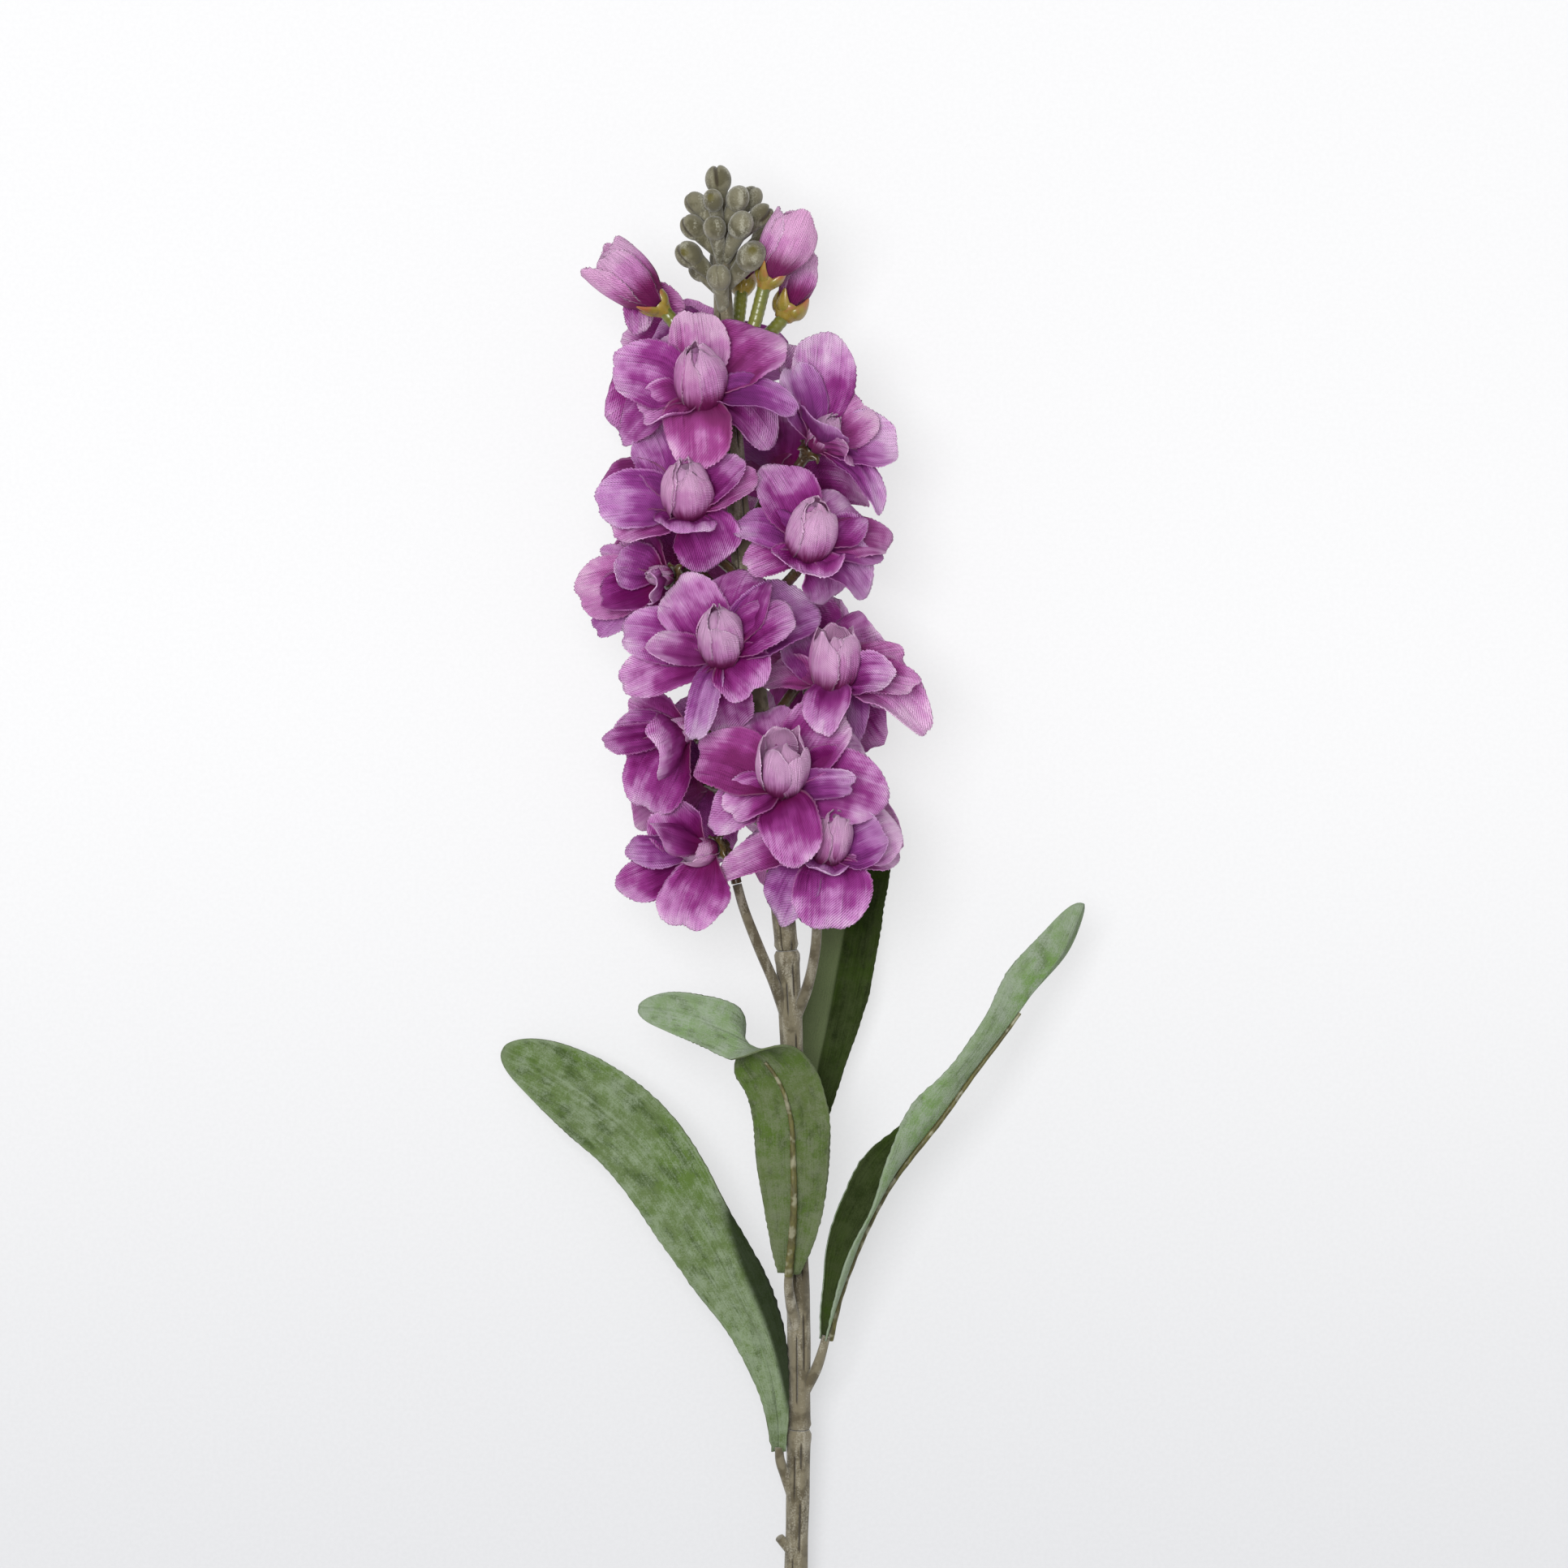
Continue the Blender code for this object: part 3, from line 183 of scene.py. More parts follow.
# The closed middle of a bloom, petal by petal: turn from the side that faces up, half the arc it covers, how
# far out it lies, where it starts and ends along the bud, and how far its end leans out, if it does.
HEART = [
    (140, 76, 0.0, 0.1, 0.98), (258, 74, 0.3, 0.1, 1.0), (22, 78, 0.55, 0.06, 0.99),
    (-72, 62, 0.9, 0.0, 0.95, 0.1), (58, 70, 1.15, 0.0, 0.88, 0.15),
]
TULIP = [
    (180, 70, 0.0, 0.0, 1.0, 0.5), (95, 60, 0.4, 0.0, 0.95, 0.9), (-95, 60, 0.5, 0.0, 0.92, 0.9),
    (0, 62, 0.8, 0.0, 0.94, 0.5),
]
HEARTS = {
    "a": [(170, 74, 0.0, 0.1, 0.98), (262, 66, 0.3, 0.1, 1.0), (70, 66, 0.5, 0.1, 1.0),
          (-84, 42, 0.9, 0.0, 0.98), (-46, 50, 1.0, 0.0, 0.97), (34, 62, 1.4, 0.0, 0.97)],
    "d": [(150, 76, 0.0, 0.1, 0.98), (268, 70, 0.3, 0.1, 1.0), (20, 70, 0.5, 0.06, 1.0),
          (-70, 56, 0.9, 0.0, 0.92, 0.1), (36, 70, 1.4, 0.0, 0.96, 0.1)],
    "c": [(150, 76, 0.0, 0.1, 1.0), (258, 74, 0.3, 0.1, 1.02, 0.4), (60, 70, 0.5, 0.06, 1.02, 0.3),
          (-78, 46, 1.2, 0.0, 1.0, 1.4), (16, 70, 0.9, 0.0, 0.92, -0.2)],
    "f": [(200, 66, 0.0, 0.1, 1.0, 0.4), (110, 66, 0.3, 0.1, 1.04), (-90, 52, 0.5, 0.05, 0.98, 0.3),
          (-66, 44, 0.9, 0.0, 0.95, 0.2), (48, 60, 1.0, 0.0, 1.04), (-4, 52, 1.5, 0.0, 0.84)],
    "g": [(170, 70, 0.0, 0.0, 1.0, -0.8), (105, 52, 0.3, 0.0, 1.02, 0.2), (-110, 52, 0.3, 0.0, 0.98, 0.2),
          (10, 40, 0.5, 0.0, 0.98, -0.9), (48, 42, 0.9, 0.0, 1.0, 0.1), (-42, 54, 1.1, 0.0, 1.0, -0.1)],
    "i": [(190, 60, 0.0, 0.1, 1.06, 0.6), (128, 50, 0.4, 0.1, 1.06, 0.9), (24, 48, 0.2, 0.05, 1.04, -2.0),
          (-92, 44, 0.9, 0.0, 1.02, 1.0), (-24, 46, 0.6, 0.05, 1.0, -1.0), (58, 58, 1.2, 0.0, 0.94, 0.6)],
    "half_left": [(160, 50, 0.0, 0.0, 1.0, 0.6), (-68, 56, 0.4, 0.0, 1.0, 3.0),
                  (54, 56, 0.6, 0.0, 0.97, 0.8), (0, 44, 1.0, 0.0, 0.93, 1.0)],
    "half_right": [(190, 56, 0.0, 0.0, 1.0, 0.2), (-64, 54, 0.4, 0.0, 1.0, 1.0),
                   (92, 54, 0.5, 0.0, 0.9, 1.2), (18, 64, 0.9, 0.0, 1.1, 1.4)],
    "half_side": [(180, 60, 0.0, 0.0, 1.0, 0.2), (-80, 50, 0.4, 0.0, 1.0, 0.8),
                  (62, 54, 0.5, 0.0, 1.06, 0.8), (10, 60, 0.9, 0.0, 1.3, 1.0)],
}
# Each kind of bloom: the number of its first petal, their grid, how level they are turned, how much broader
# and paler they are, and the closed middle of those that have none of their own above.
BLOOM_KINDS = {
    "open": (0, PETAL_GRID, LEVEL, WIDER, 0.0, HEART),
    "half": (FIRST_LOOSE, PETAL_GRID, LOOSE_LEVEL, LOOSE_WIDER, 0.2, TULIP),
    "back": (0, BACK_GRID, 0.0, WIDER, 0.0, HEART[2:]),
}
# How much more than its bloom the closed middle leans to the tip of the stem.
HEART_TILTS = {"f": 0.5, "c": 0.45, "i": 0.35, "d": 0.3, "k": 0.3, "half_side": 0.5}
# Closed middles that are open at the top, and how wide both kinds are at heights along them.
OPEN_HEARTS = ("g", "i")
HEART_HEIGHTS = (0.0, 0.12, 0.35, 0.6, 0.8, 0.92, 1.0)
HEART_WIDTHS = (0.45, 0.76, 1.0, 0.95, 0.7, 0.4, 0.12)
TULIP_WIDTHS = (0.4, 0.62, 0.96, 1.04, 0.94, 0.8, 0.68)
# Millimetres from the bloom's base to their feet, and the radius that their folds are given for.
HEART_FOOT, USUAL_RADIUS = 0.6, 7.0
# Where along them the wrapped petals' round ends begin, and how much those narrow.
HEART_TIP, TULIP_TIP = 0.72, 0.66
HEART_NARROW, TULIP_NARROW = 0.32, 0.16
# The tightly rolled core of a bloom: its foot and top along the bud, and its radius against the bud's.
CORE_FOOT, CORE_TOP, OPEN_CORE_TOP, CORE_WIDE = 0.15, 0.94, 0.8, 0.86
CORE_ROLLS = 3

# A sepal's middle line, as (along the bloom's axis, out from it): in an open bloom, and splayed or upright in
# a half-open one.
HORN_OPEN = np.array([(-1.2, 1.6), (0.1, 2.9), (0.1, 4.0), (-0.7, 4.8)])
HORN_SPLAYED = np.array([(-1.0, 1.9), (0.8, 3.7), (2.4, 5.4), (4.4, 6.9)])
HORN_UPRIGHT = np.array([(-1.0, 1.9), (1.2, 3.4), (3.6, 3.9), (6.0, 3.7)])
HORN_WIDE = np.array([1.5, 1.75, 1.8, 1.75, 1.62, 1.45, 1.25, 1.05, 0.85, 0.66, 0.48, 0.22])
HORN_FLAT = 0.55
# How far each sepal of a half-open bloom is splayed, and how much larger its cup and its sepals are.
SPLAYS = (0.95, 0.1, 0.7, 0.3)
CUP_SCALES = {"half_side": 1.22, "half_right": 0.95, "half_left": 0.9, "half_back": 0.85}
HORN_SCALES = {"half_side": 0.72, "half_left": 1.1}
# Degrees round the bloom from its upper side to the first sepal, and how far each sepal strays.
FIRST_SEPAL, HALF_FIRST_SEPAL, SEPAL_STRAY = 45, -30, 12
# The cup's rings: where along the bloom's axis, and how wide.
CUP_PLACES = np.array([-3.4, -3.0, -2.4, -1.5, -0.6, 0.3, 0.9, 0.6, -0.6])
CUP_RADII = np.array([0.9, 1.2, 1.32, 1.75, 2.05, 2.2, 2.1, 1.6, 0.6])
CUP_WIDER, HALF_CUP_WIDER, CUP_LOBES = 1.3, 1.62, 0.06
STALK_RADIUS, HALF_STALK_RADIUS = 1.45, 1.85
RING_PITCH, RING_DEPTH = 1.7, 0.025

# The two blooms at the bottom of the head stand on branchlets of the middle length.
BRANCHLETS = {
    "j": [(968, 1252, 33.5), (955, 1215, 36.5), (935, 1168, 39), (914, 1112, 40.5), (908, 1090, 41)],
    "k": [(980, 1254, 34), (995, 1215, 38), (1005, 1165, 42), (1007, 1120, 46), (1008, 1105, 47)],
}
# Their radius at both ends, and how much painted shade lies over them.
BRANCHLET_RADII, BRANCHLET_SHADE = (1.65, 1.25), 0.36
# The short stalks that the leaves sit on: where each leaves the stem and its bend.
LEAF_STALKS = {
    "left": [(976, 1850, 12.8), (968, 1828, 14.2)],
    "centre": [(981, 1640, 21.0), (974, 1608, 25.5)],
    "right": [(990, 1722, 17.4), (1006, 1692, 19.6)],
    "back": [(980, 1500, 22.8), (984, 1480, 19.6)],
}
# Their radius at both ends, and how far they reach to either side of the leaf's foot.
LEAF_STALK_RADII, STALK_OVERLAP = (1.75, 1.15), (2.2, 1.2)
STALKS_OF = {"upper": (), "middle": ("centre", "right", "back"), "lower": ("left",)}
STUB = [(977, 1924, 10.6), (966, 1912, 11.8), (960, 1905, 12.6)]
STUB_RADII = (1.7, 1.3)
# Slots moulded in the stem: where round it, how wide, from and to along it, and how often they break off.
TOP_SIDE = math.pi * 1.5
SLOTS = {
    "upper": [(TOP_SIDE - 0.5, 0.1, 30, 215, 21), (TOP_SIDE + 0.55, 0.09, 12, 215, 33)],
    "middle": [(TOP_SIDE - 0.42, 0.1, 3, 126, 26), (TOP_SIDE + 0.3, 0.08, 8, 126, 37)],
    "lower": [(TOP_SIDE - 0.2, 0.1, 3, 128, 23), (TOP_SIDE + 0.45, 0.08, 6, 128, 41)],
}
SLOT_DEPTH = 0.26
# The collars at a joint, on the length below it and the one above: how much thicker, how long, and how narrow
# the very end is.
LOWER_COLLAR, UPPER_COLLAR = (0.1, 1.6, 0.9), (0.08, 1.2, 0.88)
# Millimetres between the stem's rings of corners.
RING_SPACING = 1.3
# Tip buds: neck's radius, cleft's width and swing, length of the tip and foot halves, and size of the spot.
NECK_RADIUS, CLEFT_WIDE, CLEFT_SWING = 1.3, 0.17, 0.06
TIP_HALF, FOOT_HALF, EYE_SIZE = 1.16, 1.22, 0.44

# Leaves: points of the middle line with the turn of the blade about it, in degrees (180 shows the back), the
# widest width in steps, the channel along the middle, and the depth of the waves at the edges in millimetres.
LEAVES = {
    "left": ([(960, 1796, 16.5, 8), (957, 1745, 19.5, 10), (936, 1662, 22, 24), (902, 1592, 23, 28),
              (868, 1530, 22, 16), (830, 1470, 20, 6), (785, 1410, 16.5, 2), (730, 1363, 12, 0),
              (670, 1325, 7, -2), (613, 1298, 2.6, 0)], 108, 0.35, 1.5),
    "centre": ([(972, 1572, 30, 180), (978, 1490, 36.5, 180), (977, 1430, 40, 178), (974, 1375, 42.5, 184),
                (960, 1330, 44.5, 196), (936, 1298, 46, 230), (912, 1277, 46, 312), (880, 1262, 44.5, 348),
                (832, 1248, 40, 362), (785, 1243, 34, 360)], 96, 0.25, 1.2),
    "right": ([(1017, 1656, 22.5, 44), (1034, 1590, 25, 46), (1056, 1530, 27, 50), (1088, 1470, 28.5, 58),
               (1124, 1418, 29.5, 78), (1168, 1362, 30, 100), (1216, 1300, 29, 110), (1268, 1228, 27, 120),
               (1312, 1172, 24, 132), (1336, 1114, 21.5, 140)], 88, 1.4, 1.4),
    "back": ([(990, 1450, 16.2, -6), (998, 1390, 14.5, -8), (1010, 1320, 13, -12), (1025, 1250, 11.5, -14),
              (1038, 1180, 10, -14), (1050, 1110, 8.5, -12), (1064, 1045, 7.0, -8), (1080, 975, 5.2, -4)],
             98, 0.4, 1.0),
}
# How wide each leaf is at steps along it.
LEAF_STEPS = (0.0, 0.1, 0.2, 0.32, 0.44, 0.55, 0.64, 0.72, 0.8, 0.9, 1.0)
LEAF_WIDTHS = {
    "left": (0.16, 0.32, 0.52, 0.72, 0.88, 0.97, 1.0, 1.0, 0.98, 0.95, 0.92),
    "centre": (0.3, 0.6, 0.8, 0.95, 1.0, 0.97, 0.88, 0.74, 0.66, 0.68, 0.66),
    "right": (0.14, 0.5, 0.8, 0.9, 0.86, 0.8, 0.8, 0.84, 0.9, 0.96, 0.94),
    "back": (0.18, 0.34, 0.52, 0.7, 0.82, 0.86, 0.88, 0.88, 0.88, 0.86, 0.84),
}
LEAF_TIP = 0.72
LEAF_GRID = (96, 29)
LINE_POINTS, GRAPH_POINTS = 81, 60
# Where along it a leaf is folded over, and how much its channel changes there.
BENT = {"centre": (0.67, -1.5)}
# Millimetres that the low side of a leaf is folded down near the stem.
FOLDED = {"left": 5.0}
# How much of a leaf's length its rib runs along, and the rib's radius at its two ends.
RIB_SHARE, RIB_SHARES = 0.75, {"centre": 0.6}
RIB_RADII = (1.2, 0.45)
RIB_RINGS = 60

chance = np.random.default_rng(28)


# ---- lines and directions

def at(across, down, height):
    return np.array([(across - MIDDLE) * STEP, (MIDDLE - down) * STEP, height], float)


def laid(points):
    return [at(*point) for point in points]


def unit(vector):
    return vector / np.linalg.norm(vector, axis=-1, keepdims=True)


def sideways(way):
    return unit(np.cross(way, UP if abs(way[2]) < 0.9 else TO_TIP))


def turned_by(angle, first, second):
    """Two directions at right angles, turned together by an angle in radians."""
    return first * np.cos(angle) + second * np.sin(angle), second * np.cos(angle) - first * np.sin(angle)


def hump(value, middle, width):
    """1 where the value is the middle one, falling off smoothly to both sides."""
    return np.exp(-((value - middle) / width) ** 2)


def rise(value, start, span=1.0):
    """From 0 at the start to 1 a span further on, and level beyond both."""
    return np.clip((value - start) / span, 0, 1)


def run_of(path):
    """How far along a line each of its points lies."""
    return np.concatenate([[0.0], np.cumsum(np.linalg.norm(np.diff(path, axis=0), axis=1))])


def curve(points, count):
    """Points evenly spaced along a smooth line through the given ones."""
    points = np.asarray(points, float)
    chord = run_of(points[:, :3])
    slopes = np.gradient(points, chord, axis=0)
    where = np.linspace(0.0, chord[-1], count)
    low = np.clip(np.searchsorted(chord, where, side="right") - 1, 0, len(points) - 2)
    span = (chord[low + 1] - chord[low])[:, None]
    t = (where - chord[low])[:, None] / span
    return (
        (2 * t**3 - 3 * t**2 + 1) * points[low] + (t**3 - 2 * t**2 + t) * span * slopes[low]
        + (3 * t**2 - 2 * t**3) * points[low + 1] + (t**3 - t**2) * span * slopes[low + 1]
    )


def graph(where, steps, values):
    """How high a smooth line through the values at the steps is at where."""
    line = curve(np.stack([steps, values, np.zeros(len(steps))], -1), GRAPH_POINTS)
    return np.interp(where, line[:, 0], line[:, 1])


def tube(path, radii, around, shape=None):
    """Rings of points round a path. shape(angles, ring) scales the radius round a ring."""
    path = np.asarray(path, float)
    along = unit(np.gradient(path, axis=0))
    for ring in range(1, len(along)):
        if along[ring] @ along[ring - 1] < 0:
            along[ring] = -along[ring]
    side = sideways(along[0])
    angles = np.linspace(0.0, 2 * math.pi, around + 1)
    rings = []
    for ring, (centre, tangent, radius) in enumerate(zip(path, along, radii)):
        side = unit(side - tangent * (side @ tangent))
        other = np.cross(tangent, side)
        reach = radius * (shape(angles, ring) if shape else np.ones(around + 1))
        turned = np.outer(reach * np.cos(angles), side) + np.outer(reach * np.sin(angles), other)
        rings.append(centre + turned)
    rings = np.array(rings)
    rings[:, -1] = rings[:, 0]
    return rings


STEM = curve(laid(STEM_PATH), 240)
STEM_DOWN = MIDDLE - STEM[:, 1] / STEP


def stem_at(down):
    return np.array([np.interp(down, STEM_DOWN, STEM[:, axis]) for axis in range(3)])


def stem_radius(down):
    return np.interp(down, *zip(*STEM_RADIUS))


def joint_way(down):
    return unit(stem_at(down + 15) - stem_at(down - 15))


def bloom_frame(name):
    base, axis = BLOOMS[name][:2]
    return at(*base), unit(np.array(axis, float))


# ---- meshes and pieces

def placed(points):
    """Layout points in metres, measured from the object's origin."""
    return (np.asarray(points, float) + ORIGIN) * METRES


def blank(*marks):
    """An empty mesh whose corners can keep these numbers."""
    bm = bmesh.new()
    for mark in marks:
        bm.verts.layers.float.new(mark)
    return bm


def sheet(bm, points, marks):
    """Adds a grid of faces with its corners at points (rows, columns, 3), and numbers kept on each corner."""
    rows, columns = points.shape[:2]
    where = placed(points)
    kept = {bm.verts.layers.float[mark]: np.broadcast_to(values, (rows, columns))
            for mark, values in marks.items()}
    made = bmesh.ops.create_grid(bm, x_segments=columns - 1, y_segments=rows - 1, size=0.5)
    for vert in made["verts"]:
        column = columns - 1 - round((vert.co.x + 0.5) * (columns - 1))
        row = round((vert.co.y + 0.5) * (rows - 1))
        vert.co = Vector(where[row, column])
        for layer, values in kept.items():
            vert[layer] = float(values[row, column])
    return made["verts"]


def finished_with(verts, number):
    """The faces at these corners, given the finish of that number."""
    faces = list({face for vert in verts for face in vert.link_faces})
    for face in faces:
        face.material_index = number
    return faces


def closed_sleeve(bm, rings, marks, finish=0):
    """A tube of rings, its seam merged and its two ends closed."""
    verts = sheet(bm, rings, marks)
    bmesh.ops.remove_doubles(bm, verts=verts, dist=1e-7)
    verts = [vert for vert in verts if vert.is_valid]
    edges = {edge for vert in verts for edge in vert.link_edges if edge.is_boundary}
    bmesh.ops.holes_fill(bm, edges=list(edges), sides=0)
    bmesh.ops.recalc_face_normals(bm, faces=finished_with(verts, finish))


def piece(bm, kind, slot, which, finishes, sharp=None):
    """The finished mesh as an object that rides on the root and stands for its CAD node."""
    mesh = bpy.data.meshes.new(kind + which)
    bm.to_mesh(mesh)
    bm.free()
    mesh.polygons.foreach_set("use_smooth", [True] * len(mesh.polygons))
    if sharp:
        mesh.set_sharp_from_angle(angle=math.radians(sharp))
    obj = bpy.data.objects.new(kind + which, mesh)
    bpy.context.scene.collection.objects.link(obj)
    for finish in finishes:
        mesh.materials.append(finish)
    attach(obj, "root")
    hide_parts(slot + "_" + which)
    return obj


def thicken(obj, thick, under=0):
    wall = obj.modifiers.new("cloth", "SOLIDIFY")
    wall.thickness = thick * METRES
    wall.offset = 0.0
    wall.material_offset = under
    wall.use_even_offset = False


# ---- petals

def rounded_grid(rows, columns, straight):
    """Along and across a sheet with a round end, and how near each point is to the outline (1 on it)."""
    v, u = np.meshgrid(np.linspace(-1, 1, columns), np.linspace(0, 1, rows))
    tip = rise(u, straight, 1 - straight)
    along = np.where(u < straight, u, straight + (1 - straight) * tip * np.sqrt(1 - v**2 / 2))
    across = v * np.sqrt(1 - tip**2 / 2)
    rim = np.where(u < straight, np.abs(v), np.sqrt(across**2 + tip**2 * (1 - v**2 / 2)))
    return along, across, rim, tip


def frayed(grid, depth):
    """The uneven cut of an edge, nothing inside the sheet."""
    rows, columns = grid
    threads = (-1) ** np.add.outer(np.arange(rows), np.arange(columns))
    teeth = chance.uniform(-1, 1, grid) + 0.7 * threads
    edge = np.zeros(grid, bool)
    edge[:, [0, -1]] = True
    edge[-1] = True
    return np.where(edge, teeth, 0.0) * depth


def wanted_petals(name):
    """Each petal as asked for: tip, width, cupping, how bleached it is, with painted shade on some, and
    unevenness.
    """
    if not name.startswith("back"):
        return [(at(across, down, height), width * STEP * FULL, cup, tint, sum(uneven))
                for across, down, height, width, cup, tint, *uneven in BLOOMS[name][4]]
    base, axis = bloom_frame(name)
    side = unit(np.cross(axis, UP))
    other = np.cross(axis, side)
    asked = []
    for turn, opening, length, width in BACK_PETALS:
        turn, opening = math.radians(turn + base[1] * 3), math.radians(opening)
        out = side * math.cos(turn) + other * math.sin(turn)
        tip = base + (axis * math.cos(opening) + out * math.sin(opening)) * length
        asked.append((tip, width, BACK_CUP, None, 0.0))
    return asked


def petal_line(name, number, tip):
    """The root, bend and tip of a petal's middle line, the way across it, and its roll."""
    base, axis = bloom_frame(name)
    opening, turn, roll = EASED.get(name, {}).get(number, (0, 0, 0))
    reach = tip - base
    length = np.linalg.norm(reach) * SMALLER.get((name, number), 1.0)
    out = unit(reach - axis * (reach @ axis))
    angle = max(math.acos(unit(reach) @ axis) + math.radians(opening), math.radians(LEAST_OPENING))
    out, _ = turned_by(math.radians(turn), out, np.cross(axis, out))
    tip = base + (axis * math.cos(angle) + out * math.sin(angle)) * length
    root = base + axis * (ROOT_HIGH - ROOT_LOWER * min(number // 3, 2)) + out * ROOT_OUT
    spread = min(math.radians(HALF_SPREAD if name.startswith("half") else OPEN_SPREAD), angle)
    start = axis * math.cos(spread) + out * math.sin(spread)
    bend = root + start * 0.5 * length
    if (name, number) in SHORTER:
        tip = root + (tip - root) * SHORTER[name, number]
    return root, bend, tip, np.cross(axis, out), roll


def petal_sheet(bm, line, width, cup, uneven, grid, pale, tint, level):
    """One petal of printed cloth: a narrow folded claw, a broad creased blade and a round frayed end.

    Bare numbers are millimetres, shares of the petal, or how often a wave or fold repeats along or across it.
    """
    root, bend, end, side, roll = line
    along, across, rim, tip = rounded_grid(*grid, PETAL_TIP)
    t = along[..., None]
    centre = (1 - t) ** 2 * root + 2 * t * (1 - t) * bend + t**2 * end
    way = unit(2 * (1 - t) * (bend - root) + 2 * t * (end - bend))
    side = unit(side - way * (way @ side)[..., None])
    flat_side = np.cross(UP, way)
    side = unit(side * (1 - level) + flat_side * (level * np.sign((flat_side * side).sum())))
    face = np.cross(way, side)
    length = np.linalg.norm(end - root)
    roll = math.radians(roll) * np.minimum(1.0, 2 * along)
    roll = (roll + math.radians(chance.uniform(-12, 12)) * along**2)[..., None]
    side, face = turned_by(roll, side, face)

    grown = CLAW_WIDE + (1 - CLAW_WIDE) * np.sin(np.minimum(along / BLADE_AT, 1.0) * math.pi / 2)
    half = width / 2 * grown
    lean = chance.uniform(-0.12, 0.12)
    phases = chance.uniform(0, 2 * math.pi, 8)
    notch = chance.choice([0.0, 0.6, 1.1]) * hump(across, lean, 0.2) * tip**2
    notch = notch + 0.5 * np.sin(4.2 * across + phases[3]) * tip
    cup = cup + uneven * across + np.maximum(0.0, 1 - along / 0.35)
    flat = half * across * (1 - (np.minimum(cup, 1.6) * across) ** 2 / 6)
    outline = 1 + 0.05 * np.sin(6.5 * along + phases[4] + np.sign(across)) * np.abs(across)
    flat = flat * (outline + frayed(grid, FRAY) / np.maximum(half, 1.0)) + lean * half * along**2
    waves = np.where(across < 0, np.sin(8.5 * along + phases[0]), np.sin(10.5 * along + phases[1]))
    ripple = chance.uniform(0.4, 1.0) * np.abs(across) ** 2.4 * waves * np.minimum(1.0, 2.5 * along)
    ripple = ripple + chance.uniform(0.3, 0.8) * tip**2 * np.sin(chance.uniform(3, 5.5) * across + phases[2])
    curl = chance.uniform(-0.1, 0.2) * rise(rim, 0.55, 0.45) ** 2 * half
    curl = curl * (1 + chance.uniform(-0.6, 0.6) * across) * np.minimum(1.0, 2 * along)
    reflex = chance.uniform(-0.07, 0.04) * length * rise(along, 0.45, 0.55) ** 2
    crease = -0.4 * hump(across, 0.0, 0.1) * np.minimum(1.0, 3 * along) * (1 - along)
    fan = np.sin(across * chance.uniform(8, 11) + phases[5] + along)
    fan = fan + 0.55 * np.sin(across * chance.uniform(14, 18) + phases[6] - along)
    folds = 0.34 * fan * np.sin(math.pi * np.minimum(1, along * 1.02)) * (0.5 + 0.5 * np.abs(across))
    ridge = chance.uniform(-0.45, 0.45)
    ridge = chance.uniform(-1, 1) * hump(across, ridge * (0.4 + along), 0.24)
    folds = folds + ridge * np.sin(math.pi * np.minimum(1, along * 1.05))
    billow = 0.4 * np.sin(2.6 * across + 3.2 * along + phases[7]) * along
    lift = half * cup * across**2 / 2 + ripple + curl + reflex + crease + folds + billow
    points = centre + side * flat[..., None] + face * lift[..., None] - way * notch[..., None]
    points = points + way * (frayed(grid, FRAY) * (tip > 0.99))[..., None]
    points[..., 2] = np.maximum(points[..., 2], FLOOR + CLOTH / 2 + CLEAR)
    # The folds are kept too, to paint shade into their valleys and light onto their ridges.
    sheet(bm, points, {
        "along": along, "across": across, "edge": half * (1 - rim), "tint": tint, "pale": pale,
        "warp": flat, "weft": along * length, "fold": folds, "hue": chance.uniform(-1, 1),
    })


